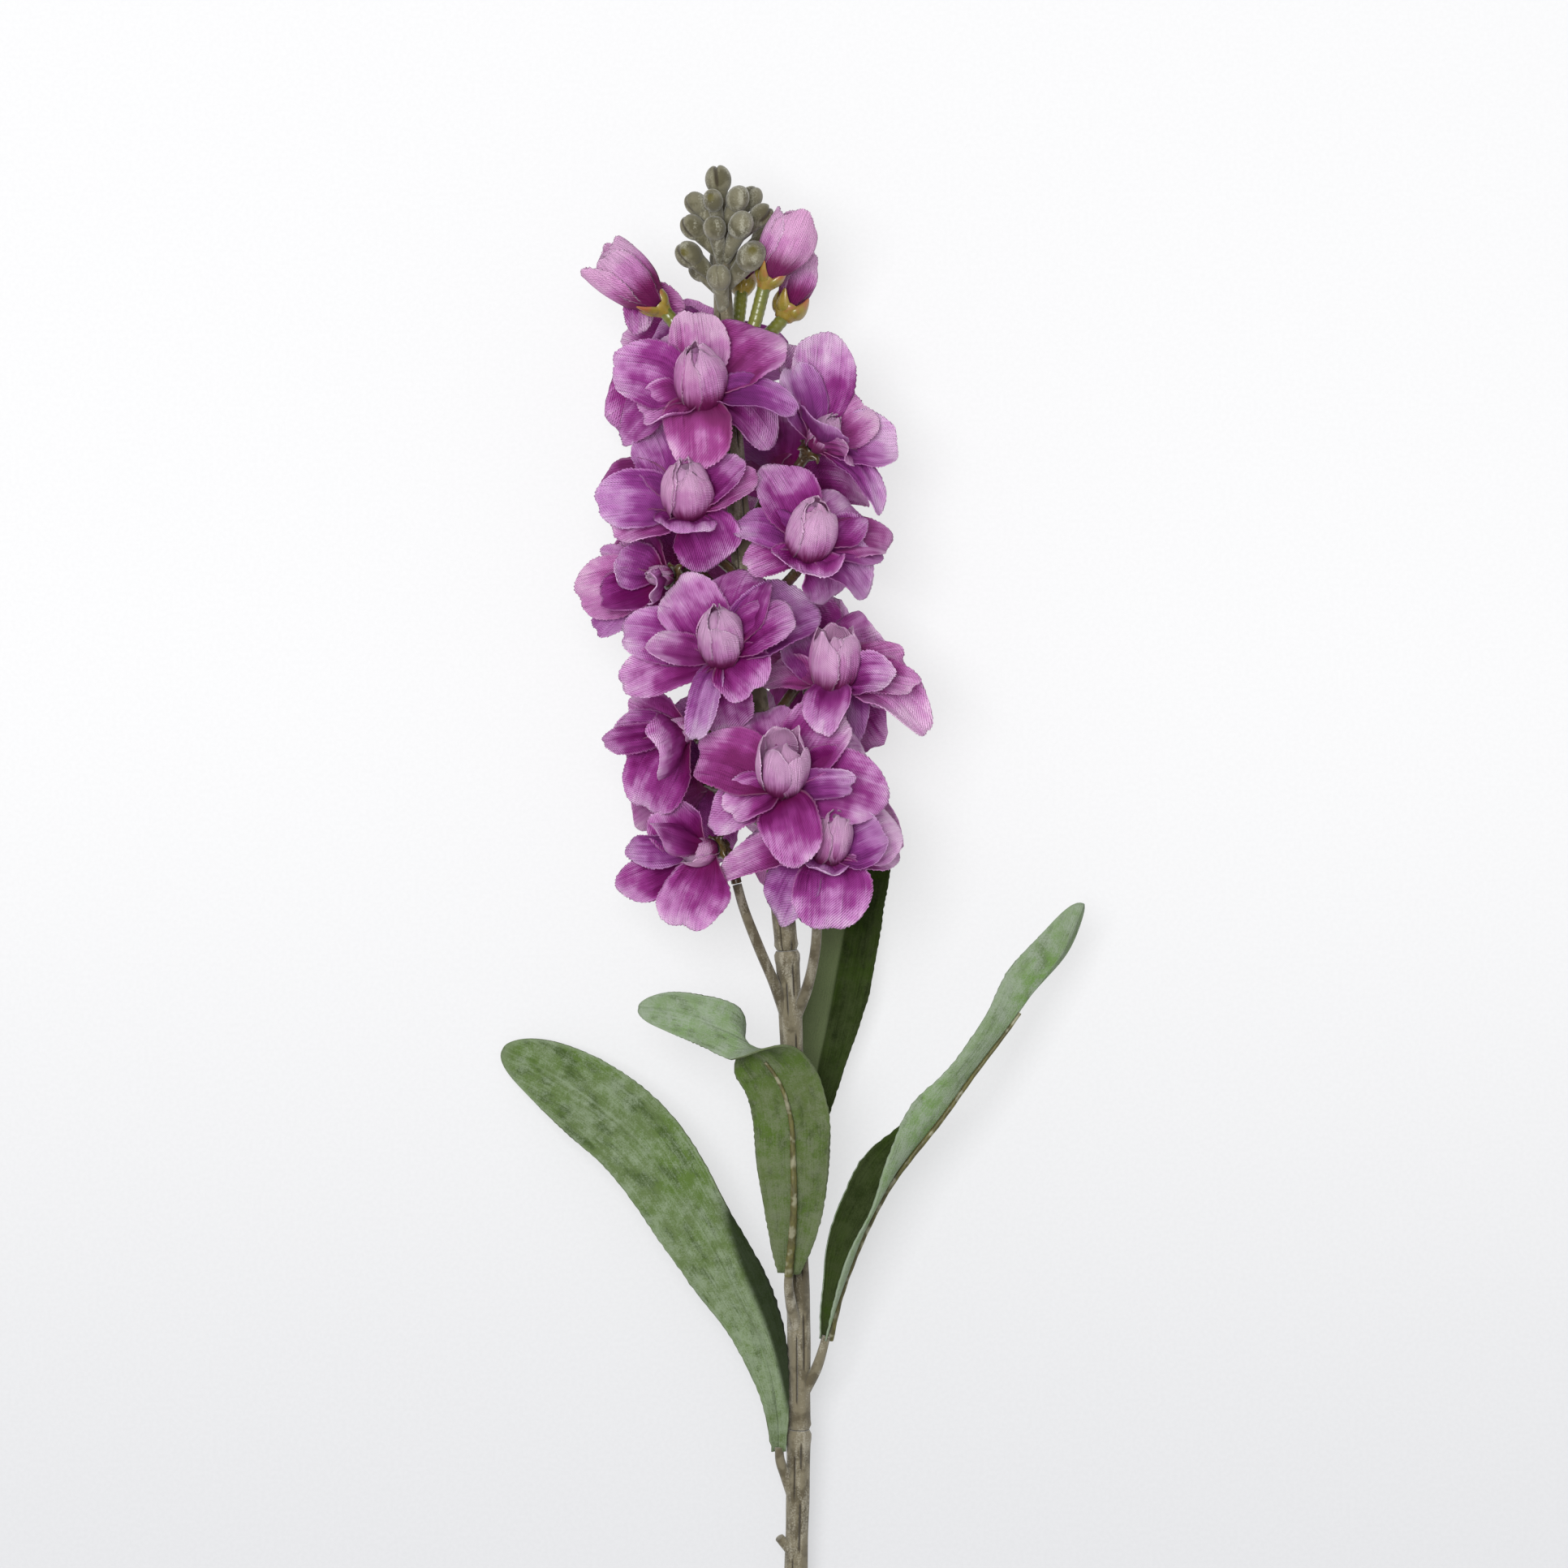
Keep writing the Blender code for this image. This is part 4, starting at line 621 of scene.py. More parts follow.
class Heart:
    """The closed middle of a bloom, as a bud shape that its wrapped petals follow."""

    def __init__(self, name):
        self.length, self.radius = BLOOMS[name][3]
        self.half, self.back = name.startswith("half"), name.startswith("back")
        self.open = name in OPEN_HEARTS
        self.foot, axis = bloom_frame(name)
        self.axis = unit(axis + TO_TIP * HEART_TILTS.get(name, 0.0))
        self.front = unit(UP - self.axis * (UP @ self.axis))
        self.side = np.cross(self.axis, self.front)

    def reach(self, height):
        widths = TULIP_WIDTHS if self.half or self.open else HEART_WIDTHS
        return self.radius * graph(height, HEART_HEIGHTS, widths)

    def points(self, height, angle, reach):
        out = self.front * np.cos(angle)[..., None] + self.side * np.sin(angle)[..., None]
        return self.foot + self.axis * (HEART_FOOT + height * self.length)[..., None] + out * reach[..., None]

    def petal(self, bm, turn, arc, out, start, end, lean=0.0):
        """A cupped petal wrapped round the bud."""
        grid = BACK_GRID if self.back else HEART_GRID
        along, across, rim, tip = rounded_grid(*grid, TULIP_TIP if self.half else HEART_TIP)
        narrow = 1 - (TULIP_NARROW if self.half else HEART_NARROW) * tip**2
        wrap = arc * across * (0.55 + 0.45 * np.minimum(1, 2.5 * along)) * narrow
        height = start + (end - start) * along
        share = self.radius / USUAL_RADIUS
        reach = self.reach(height)
        reach = reach + (0.75 * out + 0.6 * across * np.minimum(1, 2 * along)) * share
        reach = reach + (lean + 0.08) * np.maximum(height - 0.3, 0) ** 2 * 2 * share
        waves = chance.uniform(0, 6, 4)
        curled = np.clip((rim - 0.5) * 2, 0, 1) ** 2
        reach = reach + 0.35 * share * curled * np.sin(7 * along + 4 * across + waves[0])
        fold = 0.2 * np.sin(across * 7 + waves[1]) * np.sin(math.pi * along) * share
        fold = fold + 0.3 * share * hump(across, 0.3 * math.sin(waves[3]), 0.2) * along
        reach = np.maximum(reach + fold, 0.25)
        height = height - 0.035 * tip**2 * np.sin(4 * across + waves[2])
        height = height + frayed(grid, FRAY) * (tip > 0.99) / self.length
        angle = np.radians(turn + wrap) + frayed(grid, FRAY) / self.radius
        half_arc = self.radius * math.radians(arc)
        # The fold is kept too, to paint shade into its valleys and light onto its ridges.
        sheet(bm, self.points(height, angle, reach), {
            "along": along, "across": across, "edge": half_arc * (1 - rim), "fold": fold,
            "tint": chance.uniform(-0.5, 0.7), "pale": 1.2, "warp": across * half_arc,
            "weft": along * self.length, "hue": chance.uniform(-0.8, 0.3),
        })

    def core(self, bm):
        """The innermost petals, rolled up tight and closed at the top."""
        turned, along = np.meshgrid(np.linspace(0, 1, 61), np.linspace(0, 1, 26))
        height = CORE_FOOT + ((OPEN_CORE_TOP if self.open else CORE_TOP) - CORE_FOOT) * along
        reach = CORE_WIDE * self.reach(height)
        reach = reach * np.sqrt(np.maximum(1 - rise(along, 0.6, 0.4) ** 3, 0))
        fold = hump((turned * CORE_ROLLS + 0.7 * along) % 1, 0.5, 0.08)
        reach = reach * (1 - 0.07 * fold * along)
        # The core's rolls are kept as negative folds: painted shade in its creases.
        closed_sleeve(bm, self.points(height, 2 * math.pi * turned, reach), {
            "along": 0.2 + 0.7 * along, "across": 0.0, "edge": 5.0, "fold": -0.5 * fold, "tint": -0.1,
            "pale": 0.95, "warp": turned * 40, "weft": along * self.length, "hue": 0.2,
        })


def make_bloom(name, cloth):
    bm = blank(*PETAL_MARKS)
    heart = Heart(name)
    kind = "half" if heart.half else "back" if heart.back else "open"
    first, grid, level, wider, pale, usual_heart = BLOOM_KINDS[kind]
    for number, (tip, width, cup, tint, uneven) in enumerate(wanted_petals(name), first):
        if tint is None:
            tint = chance.uniform(-0.7, 0.5)
        width = width * (0.55 + 0.45 * SMALLER.get((name, number), 1.0)) * wider
        petal_sheet(bm, petal_line(name, number, tip), width, cup, uneven, grid, pale, tint, level)
    sway = 0.0 if name in HEARTS else chance.uniform(-22, 22)
    for turn, *wrap in HEARTS.get(name, usual_heart):
        heart.petal(bm, turn + sway, *wrap)
    if not heart.back:
        heart.core(bm)
    thicken(piece(bm, "bloom_", "petals", name, [cloth]), CLOTH)


# ---- calyces

def calyx_path(name):
    """The middle line of a stalk, from the stem or a branchlet to the top of the calyx."""
    base, axis = bloom_frame(name)
    if name in BRANCHLETS:
        bend, start = laid(BRANCHLETS[name][-2:])
        away = unit(start - bend)
        start = start + away * GAP
    else:
        down = BLOOMS[name][2]
        middle = stem_at(down)
        towards = base - middle
        towards[1] = 0.0
        start = middle + unit(towards) * (stem_radius(down) + GAP + STALK_SEAT)
        away = unit(unit(towards) + TO_TIP * 0.6)
    length = np.linalg.norm(base - start)
    first, last = start + away * length * 0.35, base - axis * length * 0.4
    t = np.linspace(0.0, 1.0, 6)[:, None]
    return (1 - t) ** 3 * start + 3 * t * (1 - t) ** 2 * first + 3 * t**2 * (1 - t) * last + t**3 * base


def make_calyx(name, gloss):
    """A ring-ribbed stalk, a small cup and four curved sepals, moulded in one."""
    base, axis = bloom_frame(name)
    half = name.startswith("half")
    # The calyces of open blooms are painted in shade.
    shade = 0.0 if half else 1.0
    bm = blank("blush", "cup", "shade")
    line = curve(np.concatenate([calyx_path(name)[:-1], [base - axis * 2.0]]), 60)
    radii = HALF_STALK_RADIUS if half else STALK_RADIUS
    radii = radii * (1 + RING_DEPTH * np.cos(2 * math.pi * run_of(line) / RING_PITCH))
    radii[0] = radii[0] * 0.8
    closed_sleeve(bm, tube(line, radii, 18), {"blush": 0.0, "cup": 0.0, "shade": shade})

    scale = CUP_SCALES.get(name, 1.0)
    radii = CUP_RADII * (HALF_CUP_WIDER if half else CUP_WIDER) * scale
    path = base + axis * CUP_PLACES[:, None]
    cup = tube(path, radii, 24, lambda angles, ring: 1 + CUP_LOBES * np.cos(4 * angles))
    closed_sleeve(bm, cup, {"blush": 0.55, "cup": 1.0, "shade": shade})

    front = unit(UP - axis * (UP @ axis))
    side = np.cross(axis, front)
    angles = np.linspace(0, 2 * math.pi, 15)
    for number, splay in enumerate(SPLAYS):
        first = HALF_FIRST_SEPAL if half else FIRST_SEPAL
        turn = math.radians(first + 90 * number + chance.uniform(-SEPAL_STRAY, SEPAL_STRAY))
        out = front * math.cos(turn) + side * math.sin(turn)
        across = np.cross(axis, out)
        reach, wide = HORN_OPEN, HORN_WIDE
        if half:
            reach = (HORN_SPLAYED * splay + HORN_UPRIGHT * (1 - splay)) * scale
            reach = reach[0] + (reach - reach[0]) * HORN_SCALES.get(name, 1.0)
            wide = HORN_WIDE * ((1.35 - 0.35 * splay) * scale)
        line = curve([base + axis * up + out * away for up, away in reach], len(HORN_WIDE))
        rings = []
        for centre, forward, radius in zip(line, unit(np.gradient(line, axis=0)), wide):
            up = np.cross(forward, across)
            ring = np.outer(np.cos(angles), across) + np.outer(np.sin(angles), up) * HORN_FLAT
            rings.append(centre + ring * radius)
        rings = np.array(rings)
        rings[:, -1] = rings[:, 0]
        blush = np.linspace(0.2, 1.0, len(rings))[:, None]
        closed_sleeve(bm, rings, {"blush": blush, "cup": 1.0, "shade": shade})
    piece(bm, "calyx_cup_", "calyx", name, [gloss], 50)


# ---- the stem, its tip buds, branchlets and leaf stalks

def fluted(angles, seed):
    """The soft ribs that run along the moulded stem."""
    groove = 0.1 * hump(np.cos(angles / 2 - 2.2), 0.0, 0.09)
    return 1 + (0.06 * np.cos(3 * angles + 0.6) + 0.03 * np.cos(7 * angles + seed) - groove)


def rod(bm, path, radius, around, seed, slots=(), finish=0, shaded=0.0):
    """A flocked rod with lengthwise ribs, uneven along its length, and narrow slots cut in it."""
    path = np.asarray(path)
    along = run_of(path)
    angles = np.linspace(0.0, 2 * math.pi, around + 1)
    uneven = 1 + 0.02 * np.sin(along / 7.3 + seed) + 0.015 * np.sin(along / 2.9 + 2 * seed)
    cut = np.zeros((len(path), around + 1))
    for angle, width, start, stop, every in slots:
        away = np.abs((angles - angle + math.pi) % (2 * math.pi) - math.pi)
        run = np.clip(np.minimum(along - start, stop - along) / 1.2, 0, 1)
        run = run * np.clip(np.sin(2 * math.pi * along / every + seed) * 2.4 + 1.2, 0, 1)
        cut = np.maximum(cut, run[:, None] * hump(away, 0.0, width))
    rings = tube(path, radius * uneven, around,
                 lambda turn, ring: fluted(turn, seed) - SLOT_DEPTH * cut[ring])
    rings[..., 2] = np.maximum(rings[..., 2], FLOOR + CLEAR)
    # The slot mark carries painted shade: in the slots, and over the whole rod where it is shaded.
    closed_sleeve(bm, rings, {"slot": np.maximum(cut, shaded), "eye": 0.0}, finish)


def tip_bud(bm, number, across, down, over, radius, leaves, spin, deep):
    """A flocked two-lobed bud on a short neck."""
    root = stem_at(leaves)
    middle = at(across, down, stem_at(down)[2] + over)
    way = unit(middle - root)
    reach = radius * STEP
    neck_end = middle - way * reach * 0.6
    line = curve([root, root + (neck_end - root) * 0.5 + UP * 0.15, neck_end], 14)
    rod(bm, line, np.linspace(NECK_RADIUS, 0.72 * reach, 14), 16, 1.0, finish=1)

    made = bmesh.ops.create_uvsphere(bm, u_segments=28, v_segments=20, radius=1.0)
    slot, eye = [bm.verts.layers.float[mark] for mark in ("slot", "eye")]
    side = sideways(way)
    first = side * math.cos(spin) + np.cross(side, way) * math.sin(spin)
    second = np.cross(way, first)
    looked = unit(UP * 0.9 + way * 0.3 + side * EYE_ASIDE)
    for vert in made["verts"]:
        x, y, z = vert.co
        cleft = deep * hump(x, CLEFT_SWING * math.sin(3 * y), CLEFT_WIDE)
        cleft = cleft * max(0.0, min(1.0, (z + 0.9) * 1.4))
        swell = 1.0 - 0.2 * cleft
        stretch = TIP_HALF if z > 0 else FOOT_HALF
        away = np.linalg.norm(first * x + second * y + way * z - looked)
        spot = first * x * 1.02 * swell + second * y * 0.97 * swell + way * z * stretch * swell
        vert.co = Vector(placed(middle + spot * reach))
        # The cleft is kept in the slot mark, to be painted in shade.
        vert[slot] = cleft
        vert[eye] = max(0.0, min(1.0, (EYE_SIZE - away) * 5)) if number in EYED else 0.0
    finished_with(made["verts"], 1)


def make_stem(part, top, bottom, finishes):
    bm = blank("slot", "eye")
    downs = np.linspace(top, bottom, int((bottom - top) * STEP / RING_SPACING))
    path = np.array([stem_at(down) for down in downs])
    radii = stem_radius(downs)
    if top in JOINTS:
        path[0] = path[0] + joint_way(top) * GAP
    for end, down, (thicker, long, narrowed) in ((0, top, LOWER_COLLAR), (-1, bottom, UPPER_COLLAR)):
        if down in JOINTS:
            radii = radii * (1 + thicker * hump(np.linalg.norm(path - path[end], axis=1), long, long))
            radii[end] = radii[end] * narrowed
    if bottom in JOINTS:
        way = joint_way(bottom)
        rod(bm, [path[-1] - way, path[-1] + way * PLUG_LONG], PLUG_RADIUS, 16, 0.0)
    rod(bm, path, radii, 60, 0.5, SLOTS[part])
    if part == "upper":
        for number, bud in enumerate(TIP_BUDS):
            tip_bud(bm, number, *bud)
    if part == "middle":
        for points in BRANCHLETS.values():
            rod(bm, curve(laid(points), 44), np.linspace(*BRANCHLET_RADII, 44), 24, 3.0,
                shaded=BRANCHLET_SHADE)
    if part == "lower":
        rod(bm, curve(laid(STUB), 10), np.linspace(*STUB_RADII, 10), 18, 4.0)
    for leaf in STALKS_OF[part]:
        foot, second = [at(*point[:3]) for point in LEAVES[leaf][0][:2]]
        way = unit(second - foot)
        line = laid(LEAF_STALKS[leaf]) + [foot - way * STALK_OVERLAP[0], foot + way * STALK_OVERLAP[1]]
        rod(bm, curve(line, 20), np.linspace(*LEAF_STALK_RADII, 20), 18, 2.0)
    piece(bm, "flocked_stem_", "stem", part, finishes, 60)


# ---- leaves

def folded_over(along, across):
    """1 on the low side of a leaf that is folded down, between its foot and its middle."""
    run = rise(along, 0.06, 0.12) * np.clip((0.5 - along) / 0.16, 0, 1)
    return run * rise(across, 0.35, 0.65) ** 1.4


def leaf_points(name, along, across):
    """Points of a leaf's middle layer, the way its upper side faces, and half its width."""
    points, width, channel, wave = LEAVES[name]
    where, deeper = BENT.get(name, (0.0, 0.0))
    channel = channel + deeper * hump(along, where, 0.06)
    line = curve([(*at(*point[:3]), point[3]) for point in points], LINE_POINTS)
    steps = np.linspace(0, 1, LINE_POINTS)
    tangents = unit(np.gradient(line[:, :3], axis=0))
    centre, way = [np.stack([np.interp(along, steps, values[:, axis]) for axis in range(3)], -1)
                   for values in (line, tangents)]
    way = unit(way)
    side = unit(np.cross(way, UP))
    roll = np.radians(np.interp(along, steps, line[:, 3]))[..., None]
    side, face = turned_by(roll, side, np.cross(side, way))
    half = width * STEP / 2 * graph(along, LEAF_STEPS, LEAF_WIDTHS[name])
    flat = half * across * (1 - (channel * across) ** 2 / 6)
    turn = 2.2 * np.sign(across)
    ripple = wave * np.sin(15 * along + turn + len(name)) * across**2 * np.minimum(1.0, 3 * along)
    small = 0.3 * np.sin(41 * along + 3 * turn) * np.abs(across) ** 3 * np.minimum(1.0, 3 * along)
    small = small + 0.25 * np.sin(23 * along + 4 * across)
    crease = -0.45 * hump(across, 0.0, 0.07)
    lift = half * channel * np.abs(across) ** 1.5 / 2 + ripple + small + crease
    lift = lift - FOLDED.get(name, 0.0) * folded_over(along, across)
    return centre + side * flat[..., None] + face * lift[..., None], face, half


def make_leaf(name, finishes):
    along, across, rim, _ = rounded_grid(*LEAF_GRID, LEAF_TIP)
    points, _, half = leaf_points(name, along, across)
    uneven = np.sign(across) * frayed(LEAF_GRID, LEAF_FRAY)
    points = points + np.gradient(points, axis=1) * (uneven / np.maximum(half, 1.0) * 6)[..., None]
    points[..., 2] = np.maximum(points[..., 2], FLOOR + LEAF_CLOTH / 2 + CLEAR)
    # Above 0 where a leaf is folded down, to paint shade there, and below 0 on the back leaf's lit half, to
    # paint it lighter.
    folded = folded_over(along, across) if name in FOLDED else 0.0
    if name == "back":
        folded = -np.clip((0.02 - across) / 0.2, 0, 1)
    bm = blank("along", "across", "edge", "folded")
    sheet(bm, points, {"along": along, "across": across, "edge": half * (1 - rim), "folded": folded})
    thicken(piece(bm, "leaf_blade_", "leaf", name, finishes), LEAF_CLOTH, 1)


def make_rib(name, finish):
    """The wire in its brown wrapping, glued along the back of a leaf."""
    along = np.linspace(0.0, RIB_SHARES.get(name, RIB_SHARE), RIB_RINGS)
    points, face, _ = leaf_points(name, along, np.zeros_like(along))
    radii = np.linspace(*RIB_RADII, RIB_RINGS)
    line = points - face * (LEAF_CLOTH / 2 + radii * 0.7)[:, None]
    line[:, 2] = np.maximum(line[:, 2], FLOOR + radii)
    bm = blank("along")
    rings = tube(line, radii * (1 + 0.06 * np.sin(np.arange(RIB_RINGS) * 1.7)), 14)
    closed_sleeve(bm, rings, {"along": along[:, None]})
    piece(bm, "wrapped_rib_", "rib", name, [finish], 60)


# ---- finishes

def ink(red, green, blue):
    """A colour given as it looks, from 0 to 255, as the shader wants it."""
    shares = [value / 255 for value in (red, green, blue)]
    return (*[s / 12.92 if s < 0.04045 else ((s + 0.055) / 1.055) ** 2.4 for s in shares], 1.0)


# Petals: the print from its darkest to bleached, its cooler, warmer and inner tones, the claw, the cut edge,
# and the light that comes through.
PRINT = [ink(118, 12, 98), ink(162, 60, 148), ink(216, 148, 212), ink(250, 214, 248)]
VIOLET, ROSE, INNER = ink(158, 104, 190), ink(214, 116, 168), ink(238, 152, 216)
CLAW, CUT_EDGE, PETAL_LIGHT = ink(126, 8, 88), ink(236, 220, 234), ink(238, 122, 216)
# Leaves: two greens, a darker patch and the grey bloom of each finish, and how much more bloom it has.
LEAF_INKS = {
    "sage": (ink(92, 109, 68), ink(84, 107, 50), ink(56, 73, 34), ink(134, 148, 122), 0.0),
    "pale": (ink(118, 138, 100), ink(104, 136, 72), ink(86, 104, 66), ink(146, 158, 140), 0.04),
    "dull": (ink(84, 98, 56), ink(74, 96, 38), ink(58, 72, 36), ink(108, 116, 90), 0.0),
    # The deep finish is a darker copy of the others: painted shade.
    "deep": (ink(36, 47, 17), ink(48, 66, 18), ink(28, 37, 13), ink(58, 68, 38), 0.0),
}
# Painted shade on a leaf's folded-down side, painted light on the lit half of the back leaf's fold, and the
# light that comes through.
FOLD_SHADE, PAINTED_LIT_HALF, LEAF_LIGHT = ink(22, 32, 10), ink(112, 124, 88), ink(100, 120, 60)
# The finish of each leaf's underside and of its upper side. The deep upper sides paint the shade that the
# right and back leaves lie in.
LEAF_SIDES = {"left": ("dull", "sage"), "centre": ("dull", "pale"), "right": ("pale", "deep"),
              "back": ("dull", "deep")}
# The stem and its buds: taupe, brown and the frost on both, then the painted shade in the slots, the bud
# clefts and over the branchlets, and the spots of the buds.
STEM_INKS = {
    "stem_flock": (ink(112, 105, 86), ink(84, 77, 60), ink(152, 147, 132)),
    "bud_flock": (ink(112, 108, 88), ink(84, 80, 60), ink(158, 156, 140)),
}
SLOT_SHADE, BUD_SPOT = ink(54, 46, 34), ink(84, 78, 32)
# Calyces: stalk, cup, clouding and blush of the half-open blooms, and the two browns of all others, a darker
# copy that paints the shade they lie in under the petals.
STALK_GREEN, CUP_OCHRE = ink(92, 98, 36), ink(144, 122, 48)
CLOUDING, BLUSH = ink(112, 112, 42), ink(164, 84, 62)
SHADED_CALYX_BROWN, SHADED_CALYX_OLIVE = ink(56, 40, 20), ink(78, 64, 32)
WRAP_DARK, WRAP_LIGHT, GLUE = ink(66, 62, 26), ink(92, 88, 40), ink(150, 148, 124)
PAPER_DARK, PAPER_LIGHT = ink(122, 122, 124), ink(126, 126, 128)


class Field:
    """A value that varies over a surface: arithmetic on it adds Math nodes."""

    def __init__(self, finish, socket):
        self.finish, self.socket = finish, socket

    def __add__(self, other):
        return self.finish.maths("ADD", self, other)

    def __sub__(self, other):
        return self.finish.maths("SUBTRACT", self, other)

    def __rsub__(self, other):
        return self.finish.maths("SUBTRACT", other, self)

    def __mul__(self, other):
        return self.finish.maths("MULTIPLY", self, other)

    __radd__ = __add__
    __rmul__ = __mul__


class Finish:
    """A material being mixed: its nodes, and the shader that ends it."""

    def __init__(self, name):
        self.material = bpy.data.materials.new(name)
        self.material.use_nodes = True
        self.tree = self.material.node_tree
        self.tree.nodes.clear()

    def node(self, kind, settings=(), values=()):
        """Any node: its settings are set first, then its sockets are given their values or links."""
        made = self.tree.nodes.new(kind)
        for setting, value in dict(settings).items():
            setattr(made, setting, value)
        for socket, value in dict(values).items():
            if isinstance(value, Field):
                self.tree.links.new(value.socket, made.inputs[socket])
            else:
                made.inputs[socket].default_value = value
        return made

    def field(self, output, kind, settings=(), values=()):
        return Field(self, self.node(kind, settings, values).outputs[output])

    def maths(self, operation, *terms):
        return self.field(0, "ShaderNodeMath", {"operation": operation}, enumerate(terms))

    def marks(self, *names):
        return [self.field("Fac", "ShaderNodeAttribute", {"attribute_name": name}) for name in names]

    def place(self):
        return self.field("Object", "ShaderNodeTexCoord")

    def vector(self, *parts):
        return self.field(0, "ShaderNodeCombineXYZ", (), enumerate(parts))

    def stretched(self, where, *by):
        return self.field(0, "ShaderNodeVectorMath", {"operation": "MULTIPLY"}, {0: where, 1: by})

    def noise(self, where, scale, detail=2.0, rough=0.55):
        values = {"Vector": where, "Scale": scale, "Detail": detail, "Roughness": rough}
        return self.field(0, "ShaderNodeTexNoise", (), values)

    def ramp(self, value, low, high, start=0.0, end=1.0):
        """Smoothly from start to end as the value goes from low to high."""
        settings = {"interpolation_type": "SMOOTHSTEP"}
        return self.field(0, "ShaderNodeMapRange", settings, enumerate((value, low, high, start, end)))

    def mix(self, share, low, high):
        return self.field(2, "ShaderNodeMix", {"data_type": "RGBA"}, {0: share, 6: low, 7: high})

    def layered(self, colour, *layers):
        """Inks laid over a colour: each with the value it follows, from low to high, and how strong it is."""
        for above, value, low, high, share in layers:
            colour = self.mix(self.ramp(value, low, high, 0.0, share), colour, above)
        return colour

    def bump(self, height, depth):
        values = {"Height": height, "Distance": depth * METRES, "Strength": 1.0}
        return self.field(0, "ShaderNodeBump", (), values)

    def coated(self, colour, rough, normal, **constants):
        names = {"sheen": "Sheen Weight", "sheen_rough": "Sheen Roughness", "specular": "Specular IOR Level",
                 "coat": "Coat Weight", "coat_rough": "Coat Roughness", "glow": "Emission Strength",
                 "lit": "Emission Color"}
        values = {"Base Color": colour, "Roughness": rough, "Normal": normal}
        values.update({names[name]: value for name, value in constants.items()})
        return self.node("ShaderNodeBsdfPrincipled", (), values)

    def lit_through(self, shader, colour, share):
        """Part of the light that falls on the far side comes through."""
        through = self.node("ShaderNodeBsdfTranslucent", (), {"Color": colour})
        made = self.node("ShaderNodeMixShader", (), {0: share})
        self.tree.links.new(shader.outputs[0], made.inputs[1])
        self.tree.links.new(through.outputs[0], made.inputs[2])
        return made

    def end(self, shader):
        output = self.node("ShaderNodeOutputMaterial")
        self.tree.links.new(shader.outputs[0], output.inputs["Surface"])
        return self.material


def petal_cloth():
    """Printed polyester: magenta at the claw, orchid in the blade, bleached along the cut edge, with painted
    shade in its folds and painted light on their ridges.
    """
    cloth = Finish("petal_cloth")
    along, across, edge, tint, pale, warp, weft, fold, hue = cloth.marks(*PETAL_MARKS)
    veins = cloth.noise(cloth.vector(across * 5.0, along * 0.9, tint * 7.0 + hue * 3.0), 2.2, 3.0, 0.6)
    fine = cloth.noise(cloth.vector(across * 16.0, along * 1.6, hue * 5.0), 2.0)
    clouds = cloth.noise(cloth.place(), 150.0)
    twill = cloth.maths("SINE", (warp * 0.85 + weft) * 10.5) * 0.5 + 0.5

    bleached = cloth.ramp(along, 0.22, 1.0) * 0.86 + cloth.ramp(edge, 3.4, 0.0) * 0.14 - 0.08
    bleached = bleached + (veins - 0.5) * 0.62 + (fine - 0.5) * 0.3 + (clouds - 0.5) * 1.5
    # fold paints shade into the valleys of the folds and light onto their ridges.
    bleached = bleached + pale * 0.55 + tint * 0.36 + (twill - 0.5) * 0.18 + fold * 0.34 + across * hue * 0.3
    inner = cloth.ramp(pale, 0.7, 1.0)
    claw = along - inner * 0.14 + (veins - 0.5) * 0.3 + tint * 0.06
    printed = cloth.layered(
        PRINT[0], (PRINT[1], bleached, -0.15, 0.4, 1.0), (PRINT[2], bleached, 0.35, 0.85, 1.0),
        (PRINT[3], bleached, 0.75, 1.35, 1.0), (VIOLET, hue, 0.0, 1.0, 0.22), (ROSE, hue, 0.0, -1.0, 0.2),
        (INNER, pale, 0.7, 1.0, 0.36), (CLAW, claw, 0.38, 0.08, 0.92))
    rim = cloth.ramp(edge + (veins - 0.5) * 1.6, 0.5, 0.05) * (inner * 0.2 + 0.12)
    printed = cloth.mix(rim, printed, CUT_EDGE)
    normal = cloth.bump(veins + fine * 0.6 + twill * 0.22, 1.0)
    body = cloth.coated(printed, 0.55, normal, specular=0.18)
    return cloth.end(cloth.lit_through(body, PETAL_LIGHT, 0.22))


